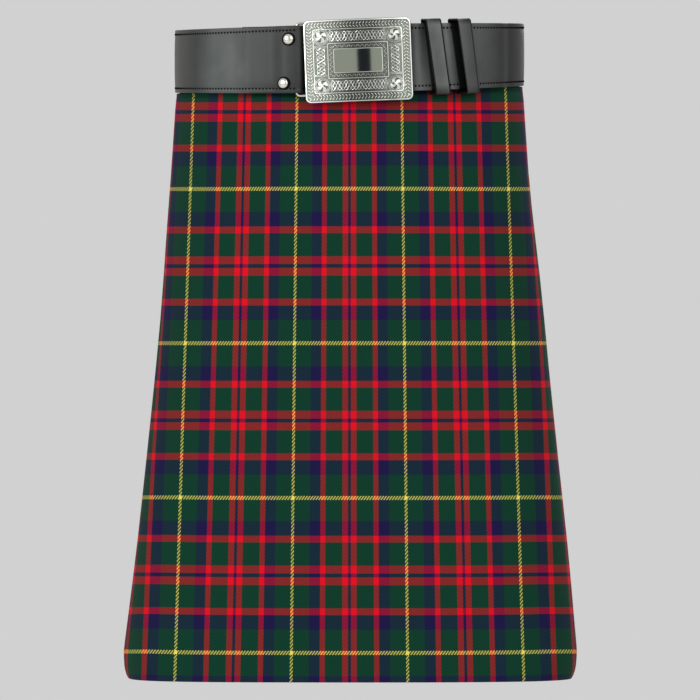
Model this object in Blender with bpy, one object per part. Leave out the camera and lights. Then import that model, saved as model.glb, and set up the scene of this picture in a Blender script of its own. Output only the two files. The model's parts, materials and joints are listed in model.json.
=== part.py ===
"""A Scottish kilt as it hangs when worn, with its own leather belt.

Metres, +Z up. The front of the kilt faces -Y and the wearer's left is +X. The origin is the
centre of the waist opening, level with the cloth's top edge, and the hem hangs below it.
A place round the body is a turn number: 0 is the centre front, 1 the wearer's left side,
2 the centre back, 3 the wearer's right side and 4 the centre front again.
"""
import math

import bmesh
import bpy
from mathutils import Vector

# ---- the cloth
KILT_LENGTH = 0.584
CLOTH = 0.0012
SEAM = 0.0003
PLEATS = 26
CREASED_EDGE = 1.08
FREE_EDGE = 2.81
LAST_PLEAT = 2.91
PLEAT_STEP = (LAST_PLEAT - CREASED_EDGE) / PLEATS
UNDER_APRON_END = 4.86
UNDER_APRON_INSET = 0.0034
UNDER_APRON_EASE = 0.24
OVERLAP_INSET = 0.0019
WAISTBAND_HEIGHT = 0.030
WAISTBAND_CLOTH = 0.0013
WAISTBAND_START = FREE_EDGE + 0.003
WAISTBAND_END = 4.0 + FREE_EDGE - 0.006
UNDER_BAND_START = 3.25
BELT_LINE = 0.0572

# ---- the body the cloth hangs round: one row for each level
# (drop from the top edge, half width, front depth, back depth, front squareness, back squareness)
BODY_ROWS = (
    (0.000, 0.1538, 0.1110, 0.1090, 2.50, 2.20),
    (BELT_LINE, 0.1538, 0.1110, 0.1090, 2.50, 2.20),
    (0.061, 0.1577, 0.1144, 0.1128, 2.55, 2.20),
    (0.085, 0.1596, 0.1160, 0.1188, 2.60, 2.21),
    (0.130, 0.1627, 0.1184, 0.1290, 2.68, 2.24),
    (0.200, 0.1692, 0.1230, 0.1460, 2.80, 2.30),
    (0.300, 0.1783, 0.1270, 0.1590, 3.00, 2.30),
    (0.545, 0.2041, 0.1347, 0.1828, 3.45, 2.39),
    (0.560, 0.2056, 0.1350, 0.1840, 3.60, 2.40),
    (0.573, 0.2048, 0.1350, 0.1840, 3.75, 2.40),
    (0.580, 0.2032, 0.1350, 0.1835, 3.80, 2.40),
    (KILT_LENGTH, 0.2012, 0.1345, 0.1830, 3.80, 2.40),
)

# (drop from the top edge, how far the cloth hangs to the wearer's left of the belt)
SWAY_ROWS = (
    (0.000, 0.0000),
    (0.130, 0.0002),
    (0.260, 0.0026),
    (0.450, 0.0026),
    (0.560, 0.0008),
    (KILT_LENGTH, 0.0004),
)

# (drop from the top edge, spacing of the folded layers)
LAYER_ROWS = (
    (0.000, 0.0016),
    (0.200, 0.0017),
    (0.400, 0.0027),
    (KILT_LENGTH, 0.0034),
)

CLOTH_DROPS = (0.0, BELT_LINE, 0.061, 0.13, 0.22, 0.39, 0.56, 0.573, KILT_LENGTH)
FRONT_STEPS = 12

# ---- the waist's tilt: up to the wearer's left, and up to the back
SIDE_RISE = 0.0199
BACK_RISE = 0.0432
RISE_FROM = 0.111
RISE_FADES = (0.069, 0.200)

# ---- the belt
BELT_MIDDLE = 0.0264
BELT_FRONT_HEIGHT = 0.0612
BELT_BACK_HEIGHT = 0.0570
LEATHER = 0.0030
LEATHER_BEVEL = 0.0007
BELT_CLEAR = 0.0019
LEFT_FOLD_X = -0.0490
RIGHT_FOLD_X = 0.0475
LEFT_TURN_BACK = 0.040
RIGHT_TURN_BACK = 0.092
LEFT_OPENING = 0.0050
RIGHT_OPENING = 0.0036
LEFT_FOLD_DEPTH = 0.0075
LEFT_FOLD_STEPS = 8
FOLD_REACH = 0.010
OPENING_REACH = 0.005
FOLD_EASE = 0.016
LOOPS_ROOM = 0.002
LOOPS_EASE = 0.012
# (steps of the turned-back end, fine steps beside the fold)
RIGHT_END_STEPS = (16, 24)
LEFT_END_STEPS = (7, 12)
FINE_STEP = 0.0055
STRAP_STEPS = 78

# ---- the keepers and the cloth loops: one row each
# (name, place along the belt, width, thickness, stand-off, lean, lift of its right-hand edge)
LOOP_ROWS = (
    ("keeper_front", 0.0757, 0.0160, 0.0020, 0.0044, 0.130, 0.0125),
    ("keeper_side", 0.1012, 0.0178, 0.0020, 0.0044, 0.125, 0.0160),
    ("belt_loop_left", 0.3450, 0.0300, 0.0012, 0.0019, 0.0, 0.0),
    ("belt_loop_right", -0.3450, 0.0300, 0.0012, 0.0019, 0.0, 0.0),
)
LOOP_CORNER = 0.0022
KEEPER_CURL = 2.0
LOOP_COLUMNS = 4

# ---- the buckle plate
PLATE_WIDTH = 0.0964
PLATE_HEIGHT = 0.0741
PLATE_BOW = 0.0050
PLATE_CENTRE = (0.0078, -0.1276, -0.0288)
PLATE_TURN = math.radians(2.2)
BOSS_PLACE = (0.0348, 0.0226)
BOSS_RADIUS = 0.0066
BOSS_HEIGHT = 0.0021
BOSS_BASE = 0.0008
HEAD_SIDES = 16
PLATE_FIELD = 0.0020
# (inset from the plate's edge, height in front of the back face, corner radius)
PLATE_STEPS = (
    (0.0000, 0.0000, 0.0050),
    (0.0000, 0.0016, 0.0050),
    (0.0008, 0.0026, 0.0045),
    (0.0058, 0.0026, 0.0020),
    (0.0066, PLATE_FIELD, 0.0018),
    (0.0202, PLATE_FIELD, 0.0012),
    (0.0207, 0.0028, 0.0012),
    (0.0255, 0.0028, 0.0010),
    (0.0260, 0.0022, 0.0009),
)
WIRE_RADIUS = 0.0014
WIRE_REACH = 0.0324
WIRE_SEAT = 0.0008
WIRE_ARM = 0.0150
WIRE_BEND = 0.0030
# (name, fold, the bar's step from the fold's middle, side the arms bend to)
WIRE_ROWS = (
    ("loop_left", LEFT_FOLD_X, 0.0030, 1.0),
    ("loop_right", RIGHT_FOLD_X, 0.0029, -1.0),
)
RIVETS = (("rivet_upper", -0.0525, -0.0097), ("rivet_lower", -0.0566, -0.0491))
RIVET_RADIUS = 0.0046
RIVET_HEIGHT = 0.0022
RIVET_SEAT = 0.0005

# ---- the hip closure at the wearer's right
HIP_DROP = 0.120
HIP_STRAP_HEIGHT = 0.020
HIP_LEATHER = 0.0020
HIP_START = 2.880
HIP_BUCKLE = 2.690
HIP_END = 2.550
HIP_TAB_END = 2.585
HIP_TAB_LAST = HIP_BUCKLE - 0.042
BUCKLE_FRONT = HIP_BUCKLE + 0.015
BUCKLE_BACK = HIP_BUCKLE - 0.032
HIP_BAR_LIFT = 0.0046
HIP_BAR_REACH = (HIP_BUCKLE - 0.045, HIP_BUCKLE - 0.012)
HIP_BAR_EASE = 0.035
HIP_TAB_LIFT = 0.0024
HIP_TAB_EASE = 0.020
BUCKLE_MARGIN = 0.0022
BUCKLE_HALF_BAR = 0.0018
HIP_STRAP_STEPS = 26
HIP_TAB_STEPS = 5


# ------------------------------------------------------------------ sizes read from the rows

def eased(share):
    """A share from 0 to 1, eased at both ends."""
    share = min(1.0, max(0.0, share))
    return share * share * (3.0 - 2.0 * share)


def row_slopes(rows, column):
    """Slope of a column at each row, kept level where the column turns."""
    steps = []
    for low, high in zip(rows, rows[1:]):
        steps.append((high[column] - low[column]) / (high[0] - low[0]))
    slopes = [steps[0]]
    for before, after in zip(steps, steps[1:]):
        if before * after <= 0.0:
            slopes.append(0.0)
        else:
            slopes.append(2.0 * before * after / (before + after))
    slopes.append(steps[-1])
    return slopes


def read_rows(rows, drop):
    """Values of every column at a drop, on a smooth curve through the rows."""
    drop = min(max(drop, rows[0][0]), rows[-1][0])
    place = 0
    while drop > rows[place + 1][0]:
        place += 1
    low = rows[place]
    high = rows[place + 1]
    span = high[0] - low[0]
    t = (drop - low[0]) / span
    values = []
    for column in range(1, len(low)):
        slopes = row_slopes(rows, column)
        start = (2 * t ** 3 - 3 * t ** 2 + 1) * low[column]
        start += (t ** 3 - 2 * t ** 2 + t) * span * slopes[place]
        end = (3 * t ** 2 - 2 * t ** 3) * high[column]
        end += (t ** 3 - t ** 2) * span * slopes[place + 1]
        values.append(start + end)
    return values


def quarter_curve(across, deep, squareness):
    """Points (x, depth, run) from the centre line to the side of a rounded quarter."""
    steps = 240
    points = []
    run = 0.0
    for step in range(steps + 1):
        angle = 0.5 * math.pi * step / steps
        x = across * math.sin(angle) ** (2.0 / squareness)
        depth = deep * max(0.0, math.cos(angle)) ** (2.0 / squareness)
        if points:
            run += math.hypot(x - points[-1][0], depth - points[-1][1])
        points.append((x, depth, run))
    return points


QUARTERS = {}


def quarters_at(drop):
    """The front and the back quarter of the body at a drop, with their sizes."""
    key = round(drop, 6)
    if key not in QUARTERS:
        across, front, back, front_square, back_square = read_rows(BODY_ROWS, drop)
        QUARTERS[key] = (
            (across, front, front_square, quarter_curve(across, front, front_square)),
            (across, back, back_square, quarter_curve(across, back, back_square)),
        )
    return QUARTERS[key]


def along_quarter(points, share):
    """The point at a share of a quarter's run."""
    target = share * points[-1][2]
    low = 0
    high = len(points) - 1
    while high - low > 1:
        middle = (low + high) // 2
        if points[middle][2] <= target:
            low = middle
        else:
            high = middle
    part = (target - points[low][2]) / (points[high][2] - points[low][2])
    x = points[low][0] + part * (points[high][0] - points[low][0])
    depth = points[low][1] + part * (points[high][1] - points[low][1])
    return x, depth


def on_body(turn, drop):
    """Place, outward direction and forward direction in plan on the body's curve."""
    turn = turn % 4.0
    quarter = int(turn)
    share = turn - quarter
    at_back = quarter in (1, 2)
    across, deep, squareness, points = quarters_at(drop)[1 if at_back else 0]
    x, depth = along_quarter(points, share if quarter in (0, 2) else 1.0 - share)
    if quarter in (1, 2):
        x, depth = along_quarter(points, 1.0 - share if quarter == 1 else share)
    side = 1.0 if quarter in (0, 1) else -1.0
    face = 1.0 if at_back else -1.0
    out_x = side * (x / across) ** (squareness - 1.0) / across
    out_y = face * (depth / deep) ** (squareness - 1.0) / deep
    length = math.hypot(out_x, out_y)
    outward = Vector((out_x / length, out_y / length, 0.0))
    forward = Vector((-outward.y, outward.x, 0.0))
    sway = read_rows(SWAY_ROWS, drop)[0]
    return Vector((side * x + sway, face * depth, 0.0)), outward, forward


def turn_at(run):
    """Turn number at a run in metres along the waist from the centre front."""
    front, back = quarters_at(0.0)
    front_run = front[3][-1][2]
    back_run = back[3][-1][2]
    size = abs(run)
    if size <= front_run:
        turn = size / front_run
    else:
        turn = 1.0 + (size - front_run) / back_run
    return turn if run >= 0.0 else 4.0 - turn


def rise(place, drop):
    """How far the tilt of the waist lifts a place."""
    first, last = RISE_FADES
    fade = 1.0 - eased((drop - first) / (last - first))
    return fade * (SIDE_RISE * place.x + BACK_RISE * (place.y + RISE_FROM))


def cloth_spot(turn, along, inward, drop):
    """A point of the cloth: turn, then a step along and a step inward from the body's curve."""
    place, outward, forward = on_body(turn, drop)
    spot = place + forward * along - outward * inward
    spot.z = rise(spot, drop) - drop
    return spot


def layer_step(drop):
    """Spacing of the folded layers at a drop."""
    return read_rows(LAYER_ROWS, drop)[0]


def overlap_shift(turn):
    """How far the last pleats sit inward, to leave room for the over apron's free edge."""
    first = LAST_PLEAT - 4.0 * PLEAT_STEP
    last = FREE_EDGE - 0.2 * PLEAT_STEP
    return OVERLAP_INSET * eased((turn - first) / (last - first))


# ------------------------------------------------------------------ sections of the cloth
# A section point is (turn, along, inward, side along, side inward). The last two give the
# direction that the cloth's right side faces.

OUT = (0.0, -1.0)
IN = (0.0, 1.0)
AHEAD = (1.0, 0.0)


def front_turns(first, last):
    """Turns across the front from first to last, at the same places for every piece."""
    turns = [first]
    for step in range(5 * FRONT_STEPS):
        turn = 2.5 + step / FRONT_STEPS
        if first + 0.01 < turn < last - 0.01:
            turns.append(turn)
    turns.append(last)
    return turns


def over_apron_section(drop):
    """Free edge, across the front, creased edge, then the return to its seam."""
    h = layer_step(drop)
    middle = CLOTH / 2
    points = []
    for turn in front_turns(FREE_EDGE, 4.0 + CREASED_EDGE):
        points.append((turn, 0.0, middle, *OUT))
    edge = 4.0 + CREASED_EDGE
    points.append((edge, h / 2, middle + h / 2, *AHEAD))
    for back in range(3):
        points.append((edge - back * PLEAT_STEP, 0.0, middle + h * (1 + 2 * back), *IN))
    points.append((edge - 2 * PLEAT_STEP, -h / 2, middle + 5.5 * h - SEAM / 2, *AHEAD))
    return points


def pleats_section(drop):
    """Every knife pleat: its face out to the folded edge, then its return underneath."""
    h = layer_step(drop)
    middle = CLOTH / 2
    points = []
    first = CREASED_EDGE - 2 * PLEAT_STEP
    points.append((first, -h / 2, middle + 5.5 * h + SEAM / 2, *AHEAD))
    for pleat in range(PLEATS):
        tip = CREASED_EDGE + (pleat + 1) * PLEAT_STEP
        for back in (3, 2, 1, 0):
            turn = tip - back * PLEAT_STEP
            points.append((turn, 0.0, middle + 2 * back * h + overlap_shift(turn), *OUT))
        shift = overlap_shift(tip)
        points.append((tip, h / 2, middle + h / 2 + shift, *AHEAD))
        for back in (0, 1, 2):
            turn = tip - back * PLEAT_STEP
            inward = middle + (2 * back + 1) * h + overlap_shift(turn)
            points.append((turn, 0.0, inward, *IN))
        turn = tip - 2 * PLEAT_STEP
        inward = middle + 5.5 * h + overlap_shift(turn)
        if pleat == PLEATS - 1:
            inward -= SEAM / 2
        points.append((turn, -h / 2, inward, *AHEAD))
    return points


def under_apron_section(drop):
    """From its seam with the last pleat, round inside the over apron."""
    h = layer_step(drop)
    middle = CLOTH / 2
    points = []
    seam = LAST_PLEAT - 2 * PLEAT_STEP
    inward = middle + 5.5 * h + SEAM / 2 + overlap_shift(seam)
    points.append((seam, -h / 2, inward, *AHEAD))
    for back in (2, 1, 0):
        turn = LAST_PLEAT - back * PLEAT_STEP
        inward = middle + 2 * (back + 1) * h + overlap_shift(turn)
        points.append((turn, 0.0, inward, *OUT))
    deep = middle + 2 * h + OVERLAP_INSET
    for turn in front_turns(LAST_PLEAT, UNDER_APRON_END)[1:]:
        share = eased((turn - LAST_PLEAT) / UNDER_APRON_EASE)
        inward = deep + share * (middle + UNDER_APRON_INSET - deep)
        points.append((turn, 0.0, inward, *OUT))
    return points


def waistband_section(drop):
    """Round the over apron from its free edge, then over the pleats to it again."""
    del drop
    middle = -SEAM - WAISTBAND_CLOTH / 2
    points = []
    turns = front_turns(WAISTBAND_START, 4.0 + CREASED_EDGE)
    tip = 4.0 + CREASED_EDGE + PLEAT_STEP
    while tip < WAISTBAND_END - PLEAT_STEP / 3:
        turns.append(tip)
        tip += PLEAT_STEP
    turns.append(WAISTBAND_END)
    for turn in turns:
        shift = overlap_shift(turn - 4.0) if turn > 6.0 else 0.0
        points.append((turn, 0.0, middle + shift, *OUT))
    return points


def under_waistband_section(drop):
    """The strip on the outside of the under apron, clear of the pleats."""
    del drop
    middle = UNDER_APRON_INSET - SEAM - WAISTBAND_CLOTH / 2
    points = []
    for turn in front_turns(UNDER_BAND_START, UNDER_APRON_END):
        points.append((turn, 0.0, middle, *OUT))
    return points


def cloth_row(section, drop, thickness):
    """The right side and the wrong side of a piece of cloth at one drop."""
    right = []
    wrong = []
    for turn, along, inward, side_along, side_inward in section(drop):
        half = thickness / 2
        step_along = side_along * half
        step_inward = side_inward * half
        right.append(cloth_spot(turn, along + step_along, inward + step_inward, drop))
        wrong.append(cloth_spot(turn, along - step_along, inward - step_inward, drop))
    return right, wrong


# ------------------------------------------------------------------ meshes

def material(name, colour, roughness, metallic=0.0):
    """A plain finish."""
    finish = bpy.data.materials.new(name)
    finish.use_nodes = True
    shader = finish.node_tree.nodes["Principled BSDF"]
    shader.inputs["Base Color"].default_value = (*colour, 1.0)
    shader.inputs["Roughness"].default_value = roughness
    shader.inputs["Metallic"].default_value = metallic
    return finish


def object_from(name, body, finish, smooth=True):
    """Close a bmesh into a named object with its faces outward."""
    bmesh.ops.recalc_face_normals(body, faces=body.faces)
    if body.calc_volume(signed=True) < 0.0:
        bmesh.ops.reverse_faces(body, faces=body.faces)
    mesh = bpy.data.meshes.new(name)
    body.to_mesh(mesh)
    body.free()
    if smooth:
        mesh.shade_smooth()
        mesh.set_sharp_from_angle(angle=math.radians(40.0))
    mesh.materials.append(finish)
    piece = bpy.data.objects.new(name, mesh)
    bpy.context.collection.objects.link(piece)
    return piece


def wall_object(name, rows, finish, closed=False):
    """A wall from rows of (right side, wrong side) points. Closed rows run round a loop."""
    body = bmesh.new()
    right = []
    wrong = []
    for right_points, wrong_points in rows:
        right.append([body.verts.new(point) for point in right_points])
        wrong.append([body.verts.new(point) for point in wrong_points])
    pairs = list(zip(range(len(rows)), range(1, len(rows))))
    if closed:
        pairs.append((len(rows) - 1, 0))
    last = len(right[0]) - 1
    for low, high in pairs:
        for column in range(last):
            body.faces.new((right[low][column], right[low][column + 1],
                            right[high][column + 1], right[high][column]))
            body.faces.new((wrong[low][column + 1], wrong[low][column],
                            wrong[high][column], wrong[high][column + 1]))
        for column in (0, last):
            body.faces.new((right[low][column], right[high][column],
                            wrong[high][column], wrong[low][column]))
    if not closed:
        for row in (0, len(rows) - 1):
            for column in range(last):
                body.faces.new((right[row][column], right[row][column + 1],
                                wrong[row][column + 1], wrong[row][column]))
    return object_from(name, body, finish)


def cloth_object(name, section, drops, thickness, finish):
    """A piece of cloth through its sections."""
    rows = [cloth_row(section, drop, thickness) for drop in drops]
    return wall_object(name, rows, finish)


# ------------------------------------------------------------------ the belt

def belt_height(turn):
    """Height of the strap, which narrows a little from the front to the sides."""
    from_front = min(turn % 4.0, 4.0 - turn % 4.0)
    share = eased(from_front / 0.9)
    return BELT_FRONT_HEIGHT + share * (BELT_BACK_HEIGHT - BELT_FRONT_HEIGHT)


def fold_run(x):
    """Run along the waist at which the body's front reaches x."""
    points = quarters_at(0.0)[0][3]
    size = abs(x)
    for before, after in zip(points, points[1:]):
        if after[0] >= size:
            share = (size - before[0]) / (after[0] - before[0])
            run = before[2] + share * (after[2] - before[2])
            return run if x >= 0.0 else -run
    return points[-1][2]


def bump(run, start, end, ease):
    """1 between start and end, easing to 0 beyond them."""
    return eased((run - start + ease) / ease) * eased((end + ease - run) / ease)


def loops_lift(run):
    """How far the keepers' and loops' inner sides lift the strap."""
    lift = 0.0
    for name, place, width, thick, stand, lean, edge_lift in LOOP_ROWS:
        reach = width / 2 + lean * BELT_FRONT_HEIGHT / 2 + LOOPS_ROOM
        share = bump(run, place - reach, place + reach, LOOPS_EASE)
        lift = max(lift, (thick + SEAM) * share)
    return lift


def inner_strap_gap(run):
    """Distance from the cloth's curve out to the middle of a turned-back layer."""
    return BELT_CLEAR + LEATHER / 2 + loops_lift(run)


def outer_strap_gap(run):
    """Distance from the cloth's curve out to the middle of the strap's outer layer."""
    left = fold_run(LEFT_FOLD_X)
    right = fold_run(RIGHT_FOLD_X)
    layer = LEATHER + SEAM
    gap = inner_strap_gap(run)
    gap += layer * bump(run, left - LEFT_TURN_BACK, left + FOLD_REACH, FOLD_EASE)
    opening = LEFT_OPENING - SEAM
    gap += opening * bump(run, left - OPENING_REACH, left + FOLD_REACH, FOLD_EASE)
    gap += layer * bump(run, right - FOLD_REACH, right + RIGHT_TURN_BACK, FOLD_EASE)
    opening = RIGHT_OPENING - SEAM
    gap += opening * bump(run, right - FOLD_REACH, right + OPENING_REACH, FOLD_EASE)
    return gap


def strap_path():
    """The strap's middle line: (run, along, gap, side along, side outward)."""
    left = fold_run(LEFT_FOLD_X)
    right = fold_run(RIGHT_FOLD_X)
    front_run = quarters_at(0.0)[0][3][-1][2]
    back_run = quarters_at(0.0)[1][3][-1][2]
    whole = 2.0 * (front_run + back_run)
    points = []
    inner_steps, fine_steps = RIGHT_END_STEPS
    for step in range(inner_steps + 1):
        run = right + RIGHT_TURN_BACK * (1.0 - step / inner_steps)
        points.append((run, 0.0, inner_strap_gap(run), 0.0, -1.0))
    radius = (outer_strap_gap(right) - inner_strap_gap(right)) / 2
    middle = (outer_strap_gap(right) + inner_strap_gap(right)) / 2
    for angle in (45.0, 90.0, 135.0):
        turn = math.radians(angle)
        side = (-math.sin(turn), -math.cos(turn))
        points.append((right, radius * side[0], middle + radius * side[1], *side))
    outer = [right + FINE_STEP * step for step in range(fine_steps + 1)]
    inner_steps, fine_steps = LEFT_END_STEPS
    far = whole + left - FINE_STEP * fine_steps
    first = outer[-1]
    outer += [first + (far - first) * step / STRAP_STEPS for step in range(1, STRAP_STEPS + 1)]
    outer += [far + FINE_STEP * step for step in range(1, fine_steps + 1)]
    for run in outer:
        local = run if run <= whole / 2 else run - whole
        points.append((local, 0.0, outer_strap_gap(local), 0.0, 1.0))
    radius = (outer_strap_gap(left) - inner_strap_gap(left)) / 2
    middle = (outer_strap_gap(left) + inner_strap_gap(left)) / 2
    for step in range(1, LEFT_FOLD_STEPS):
        turn = math.pi * step / LEFT_FOLD_STEPS
        along = LEFT_FOLD_DEPTH * math.sin(turn)
        side = (radius * math.sin(turn), LEFT_FOLD_DEPTH * math.cos(turn))
        size = math.hypot(*side)
        points.append((left, along, middle + radius * math.cos(turn), side[0] / size, side[1] / size))
    for step in range(inner_steps + 1):
        run = left - LEFT_TURN_BACK * step / inner_steps
        points.append((run, 0.0, inner_strap_gap(run), 0.0, -1.0))
    return points


def belt_spot(run, along, gap, height):
    """A point of the belt: run round the waist, step along, gap outward, height from its middle."""
    place, outward, forward = on_body(turn_at(run), 0.0)
    spot = place + forward * along + outward * gap
    spot.z = height - BELT_MIDDLE + rise(spot, 0.0)
    return spot


def belt_strap(finish):
    """The strap, with bevelled edges, folded back at both ends."""
    path = strap_path()
    rows = []
    levels = (
        (-1.0, 0.0, LEATHER / 2 - LEATHER_BEVEL),
        (-1.0, LEATHER_BEVEL, LEATHER / 2),
        (1.0, LEATHER_BEVEL, LEATHER / 2),
        (1.0, 0.0, LEATHER / 2 - LEATHER_BEVEL),
    )
    for sign, inset, half in levels:
        right = []
        wrong = []
        for run, along, gap, side_along, side_out in path:
            height = sign * (belt_height(turn_at(run)) / 2 - inset)
            right.append(belt_spot(run, along + half * side_along, gap + half * side_out, height))
            wrong.append(belt_spot(run, along - half * side_along, gap - half * side_out, height))
        rows.append((right, wrong))
    return wall_object("belt_strap", rows, finish)


def loop_outline(half_height, corner):
    """Middle line of a loop: (on the outer side, step outward, height, side outward, side up)."""
    points = []
    corners = (
        (True, half_height - corner, 90.0),
        (True, corner - half_height, 0.0),
        (False, corner - half_height, -90.0),
        (False, half_height - corner, -180.0),
    )
    for outer, height, start in corners:
        inset = -corner if outer else corner
        for part in (0.0, 0.5, 1.0):
            angle = math.radians(start - 90.0 * part)
            side = (math.cos(angle), math.sin(angle))
            points.append((outer, inset + corner * side[0], height + corner * side[1], *side))
    return points


def belt_loop(row, finish):
    """A keeper or a cloth loop: a closed strip round the strap, leaning as worn."""
    name, place, width, thick, stand, lean, edge_lift = row
    half = thick / 2
    outer_clear = LEATHER / 2 + SEAM + half
    half_height = belt_height(turn_at(place)) / 2 + stand - half
    rows = []
    for outer, step_out, height, side_out, side_up in loop_outline(half_height, LOOP_CORNER):
        outside = []
        inside = []
        for column in range(LOOP_COLUMNS + 1):
            run = place + (column / LOOP_COLUMNS - 0.5) * width - lean * height
            gap = BELT_CLEAR + half
            if outer:
                gap = outer_strap_gap(run) + outer_clear
                gap += edge_lift * (1.0 - column / LOOP_COLUMNS) ** KEEPER_CURL
            gap += step_out
            outside.append(belt_spot(run, 0.0, gap + half * side_out, height + half * side_up))
            inside.append(belt_spot(run, 0.0, gap - half * side_out, height - half * side_up))
        rows.append((outside, inside))
    return wall_object(name, rows, finish, closed=True)


# ------------------------------------------------------------------ the buckle

def plate_spot(across, up, forward):
    """A point of the buckle plate, bowed round the body and turned with the belt."""
    bowed = forward - PLATE_BOW * (2.0 * across / PLATE_WIDTH) ** 2
    x = across * math.cos(PLATE_TURN) - up * math.sin(PLATE_TURN)
    z = across * math.sin(PLATE_TURN) + up * math.cos(PLATE_TURN)
    return Vector((PLATE_CENTRE[0] + x, PLATE_CENTRE[1] - bowed, PLATE_CENTRE[2] + z))


def plate_ring(width, height, corner, long_steps=8, short_steps=4):
    """Points of a rounded rectangle, anticlockwise from the lower left of its bottom edge."""
    half_w = width / 2
    half_h = height / 2
    points = []
    sides = (
        (-half_w + corner, -half_h, half_w - corner, -half_h, long_steps),
        (half_w, -half_h + corner, half_w, half_h - corner, short_steps),
        (half_w - corner, half_h, -half_w + corner, half_h, long_steps),
        (-half_w, half_h - corner, -half_w, -half_h + corner, short_steps),
    )
    slant = corner * (1.0 - math.sqrt(0.5))
    middles = ((half_w - slant, slant - half_h), (half_w - slant, half_h - slant),
               (slant - half_w, half_h - slant), (slant - half_w, slant - half_h))
    for (x0, y0, x1, y1, steps), middle in zip(sides, middles):
        for step in range(steps + 1):
            share = step / steps
            points.append((x0 + share * (x1 - x0), y0 + share * (y1 - y0)))
        points.append(middle)
    return points


def bridge_rings(body, low, high):
    """Quads between two rings of equal length."""
    count = len(low)
    for place in range(count):
        after = (place + 1) % count
        body.faces.new((low[place], low[after], high[after], high[place]))


def cap_ring(body, ring, long_steps=8, short_steps=4):
    """Close a plate ring with strips across it, so that the face keeps its bow."""
    bottom = ring[0:long_steps + 1]
    start = long_steps + 2
    right = ring[start:start + short_steps + 1]
    start += short_steps + 2
    top = ring[start:start + long_steps + 1]
    start += long_steps + 2
    left = ring[start:start + short_steps + 1]
    top = top[::-1]
    for place in range(long_steps):
        body.faces.new((bottom[place], bottom[place + 1], top[place + 1], top[place]))
    right_middle = ring[long_steps + 1], ring[long_steps + short_steps + 3]
    left_middle = ring[-short_steps - 3], ring[-1]
    body.faces.new((bottom[-1], right_middle[0], *right, right_middle[1], top[-1]))
    body.faces.new((top[0], left_middle[0], *left, left_middle[1], bottom[0]))


def buckle_plate(finish):
    """The cast plate: rim, sunk field, raised inner frame and panel, with four corner bosses."""
    body = bmesh.new()
    rings = []
    for inset, forward, corner in PLATE_STEPS:
        outline = plate_ring(PLATE_WIDTH - 2 * inset, PLATE_HEIGHT - 2 * inset, corner)
        rings.append([body.verts.new(plate_spot(x, y, forward)) for x, y in outline])
    for low, high in zip(rings, rings[1:]):
        bridge_rings(body, low, high)
    cap_ring(body, rings[0])
    cap_ring(body, rings[-1])
    plate = object_from("buckle_plate", body, finish)
    for sign_x in (-1.0, 1.0):
        for sign_z in (-1.0, 1.0):
            join_boss(plate, sign_x * BOSS_PLACE[0], sign_z * BOSS_PLACE[1])
    return plate


def join_boss(plate, across, up):
    """Unite a round domed boss with the plate."""
    centre = plate_spot(across, up, BOSS_BASE)
    boss = domed_head("boss", centre, Vector((0.0, -1.0, 0.0)), BOSS_RADIUS,
                      BOSS_HEIGHT + PLATE_FIELD - BOSS_BASE, plate.data.materials[0])
    cut = plate.modifiers.new("boss", "BOOLEAN")
    cut.operation = "UNION"
    cut.solver = "EXACT"
    cut.object = boss
    evaluated = plate.evaluated_get(bpy.context.evaluated_depsgraph_get())
    united = bpy.data.meshes.new_from_object(evaluated)
    plate.modifiers.clear()
    plate.data = united
    bpy.data.objects.remove(boss)


def domed_head(name, centre, direction, radius, height, finish):
    """A domed head on a short round side, standing on centre and facing direction."""
    side_axis = direction.cross(Vector((0.0, 0.0, 1.0))).normalized()
    up_axis = side_axis.cross(direction).normalized()
    levels = ((1.0, 0.0), (1.0, 0.30), (0.88, 0.60), (0.55, 0.90))
    body = bmesh.new()
    rings = []
    for share, part in levels:
        ring = []
        for step in range(HEAD_SIDES):
            angle = 2.0 * math.pi * step / HEAD_SIDES
            reach = side_axis * math.cos(angle) + up_axis * math.sin(angle)
            ring.append(body.verts.new(centre + reach * radius * share + direction * height * part))
        rings.append(ring)
    for low, high in zip(rings, rings[1:]):
        bridge_rings(body, low, high)
    body.faces.new(rings[0][::-1])
    top = body.verts.new(centre + direction * height)
    for step in range(HEAD_SIDES):
        body.faces.new((rings[-1][step], rings[-1][(step + 1) % HEAD_SIDES], top))
    return object_from(name, body, finish)


def strap_face(run):
    """A point of the strap's outer face at half height."""
    return belt_spot(run, 0.0, outer_strap_gap(run) + LEATHER / 2, 0.0)


def rivet(name, x, z, finish):
    """A domed rivet seated on the slope of the strap's left fold."""
    run = fold_run(x)
    along = strap_face(run + RIVET_RADIUS) - strap_face(run - RIVET_RADIUS)
    direction = Vector((along.y, -along.x, 0.0)).normalized()
    centre = strap_face(run) + direction * RIVET_SEAT
    centre.z = z
    return domed_head(name, centre, direction, RIVET_RADIUS, RIVET_HEIGHT, finish)


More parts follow.
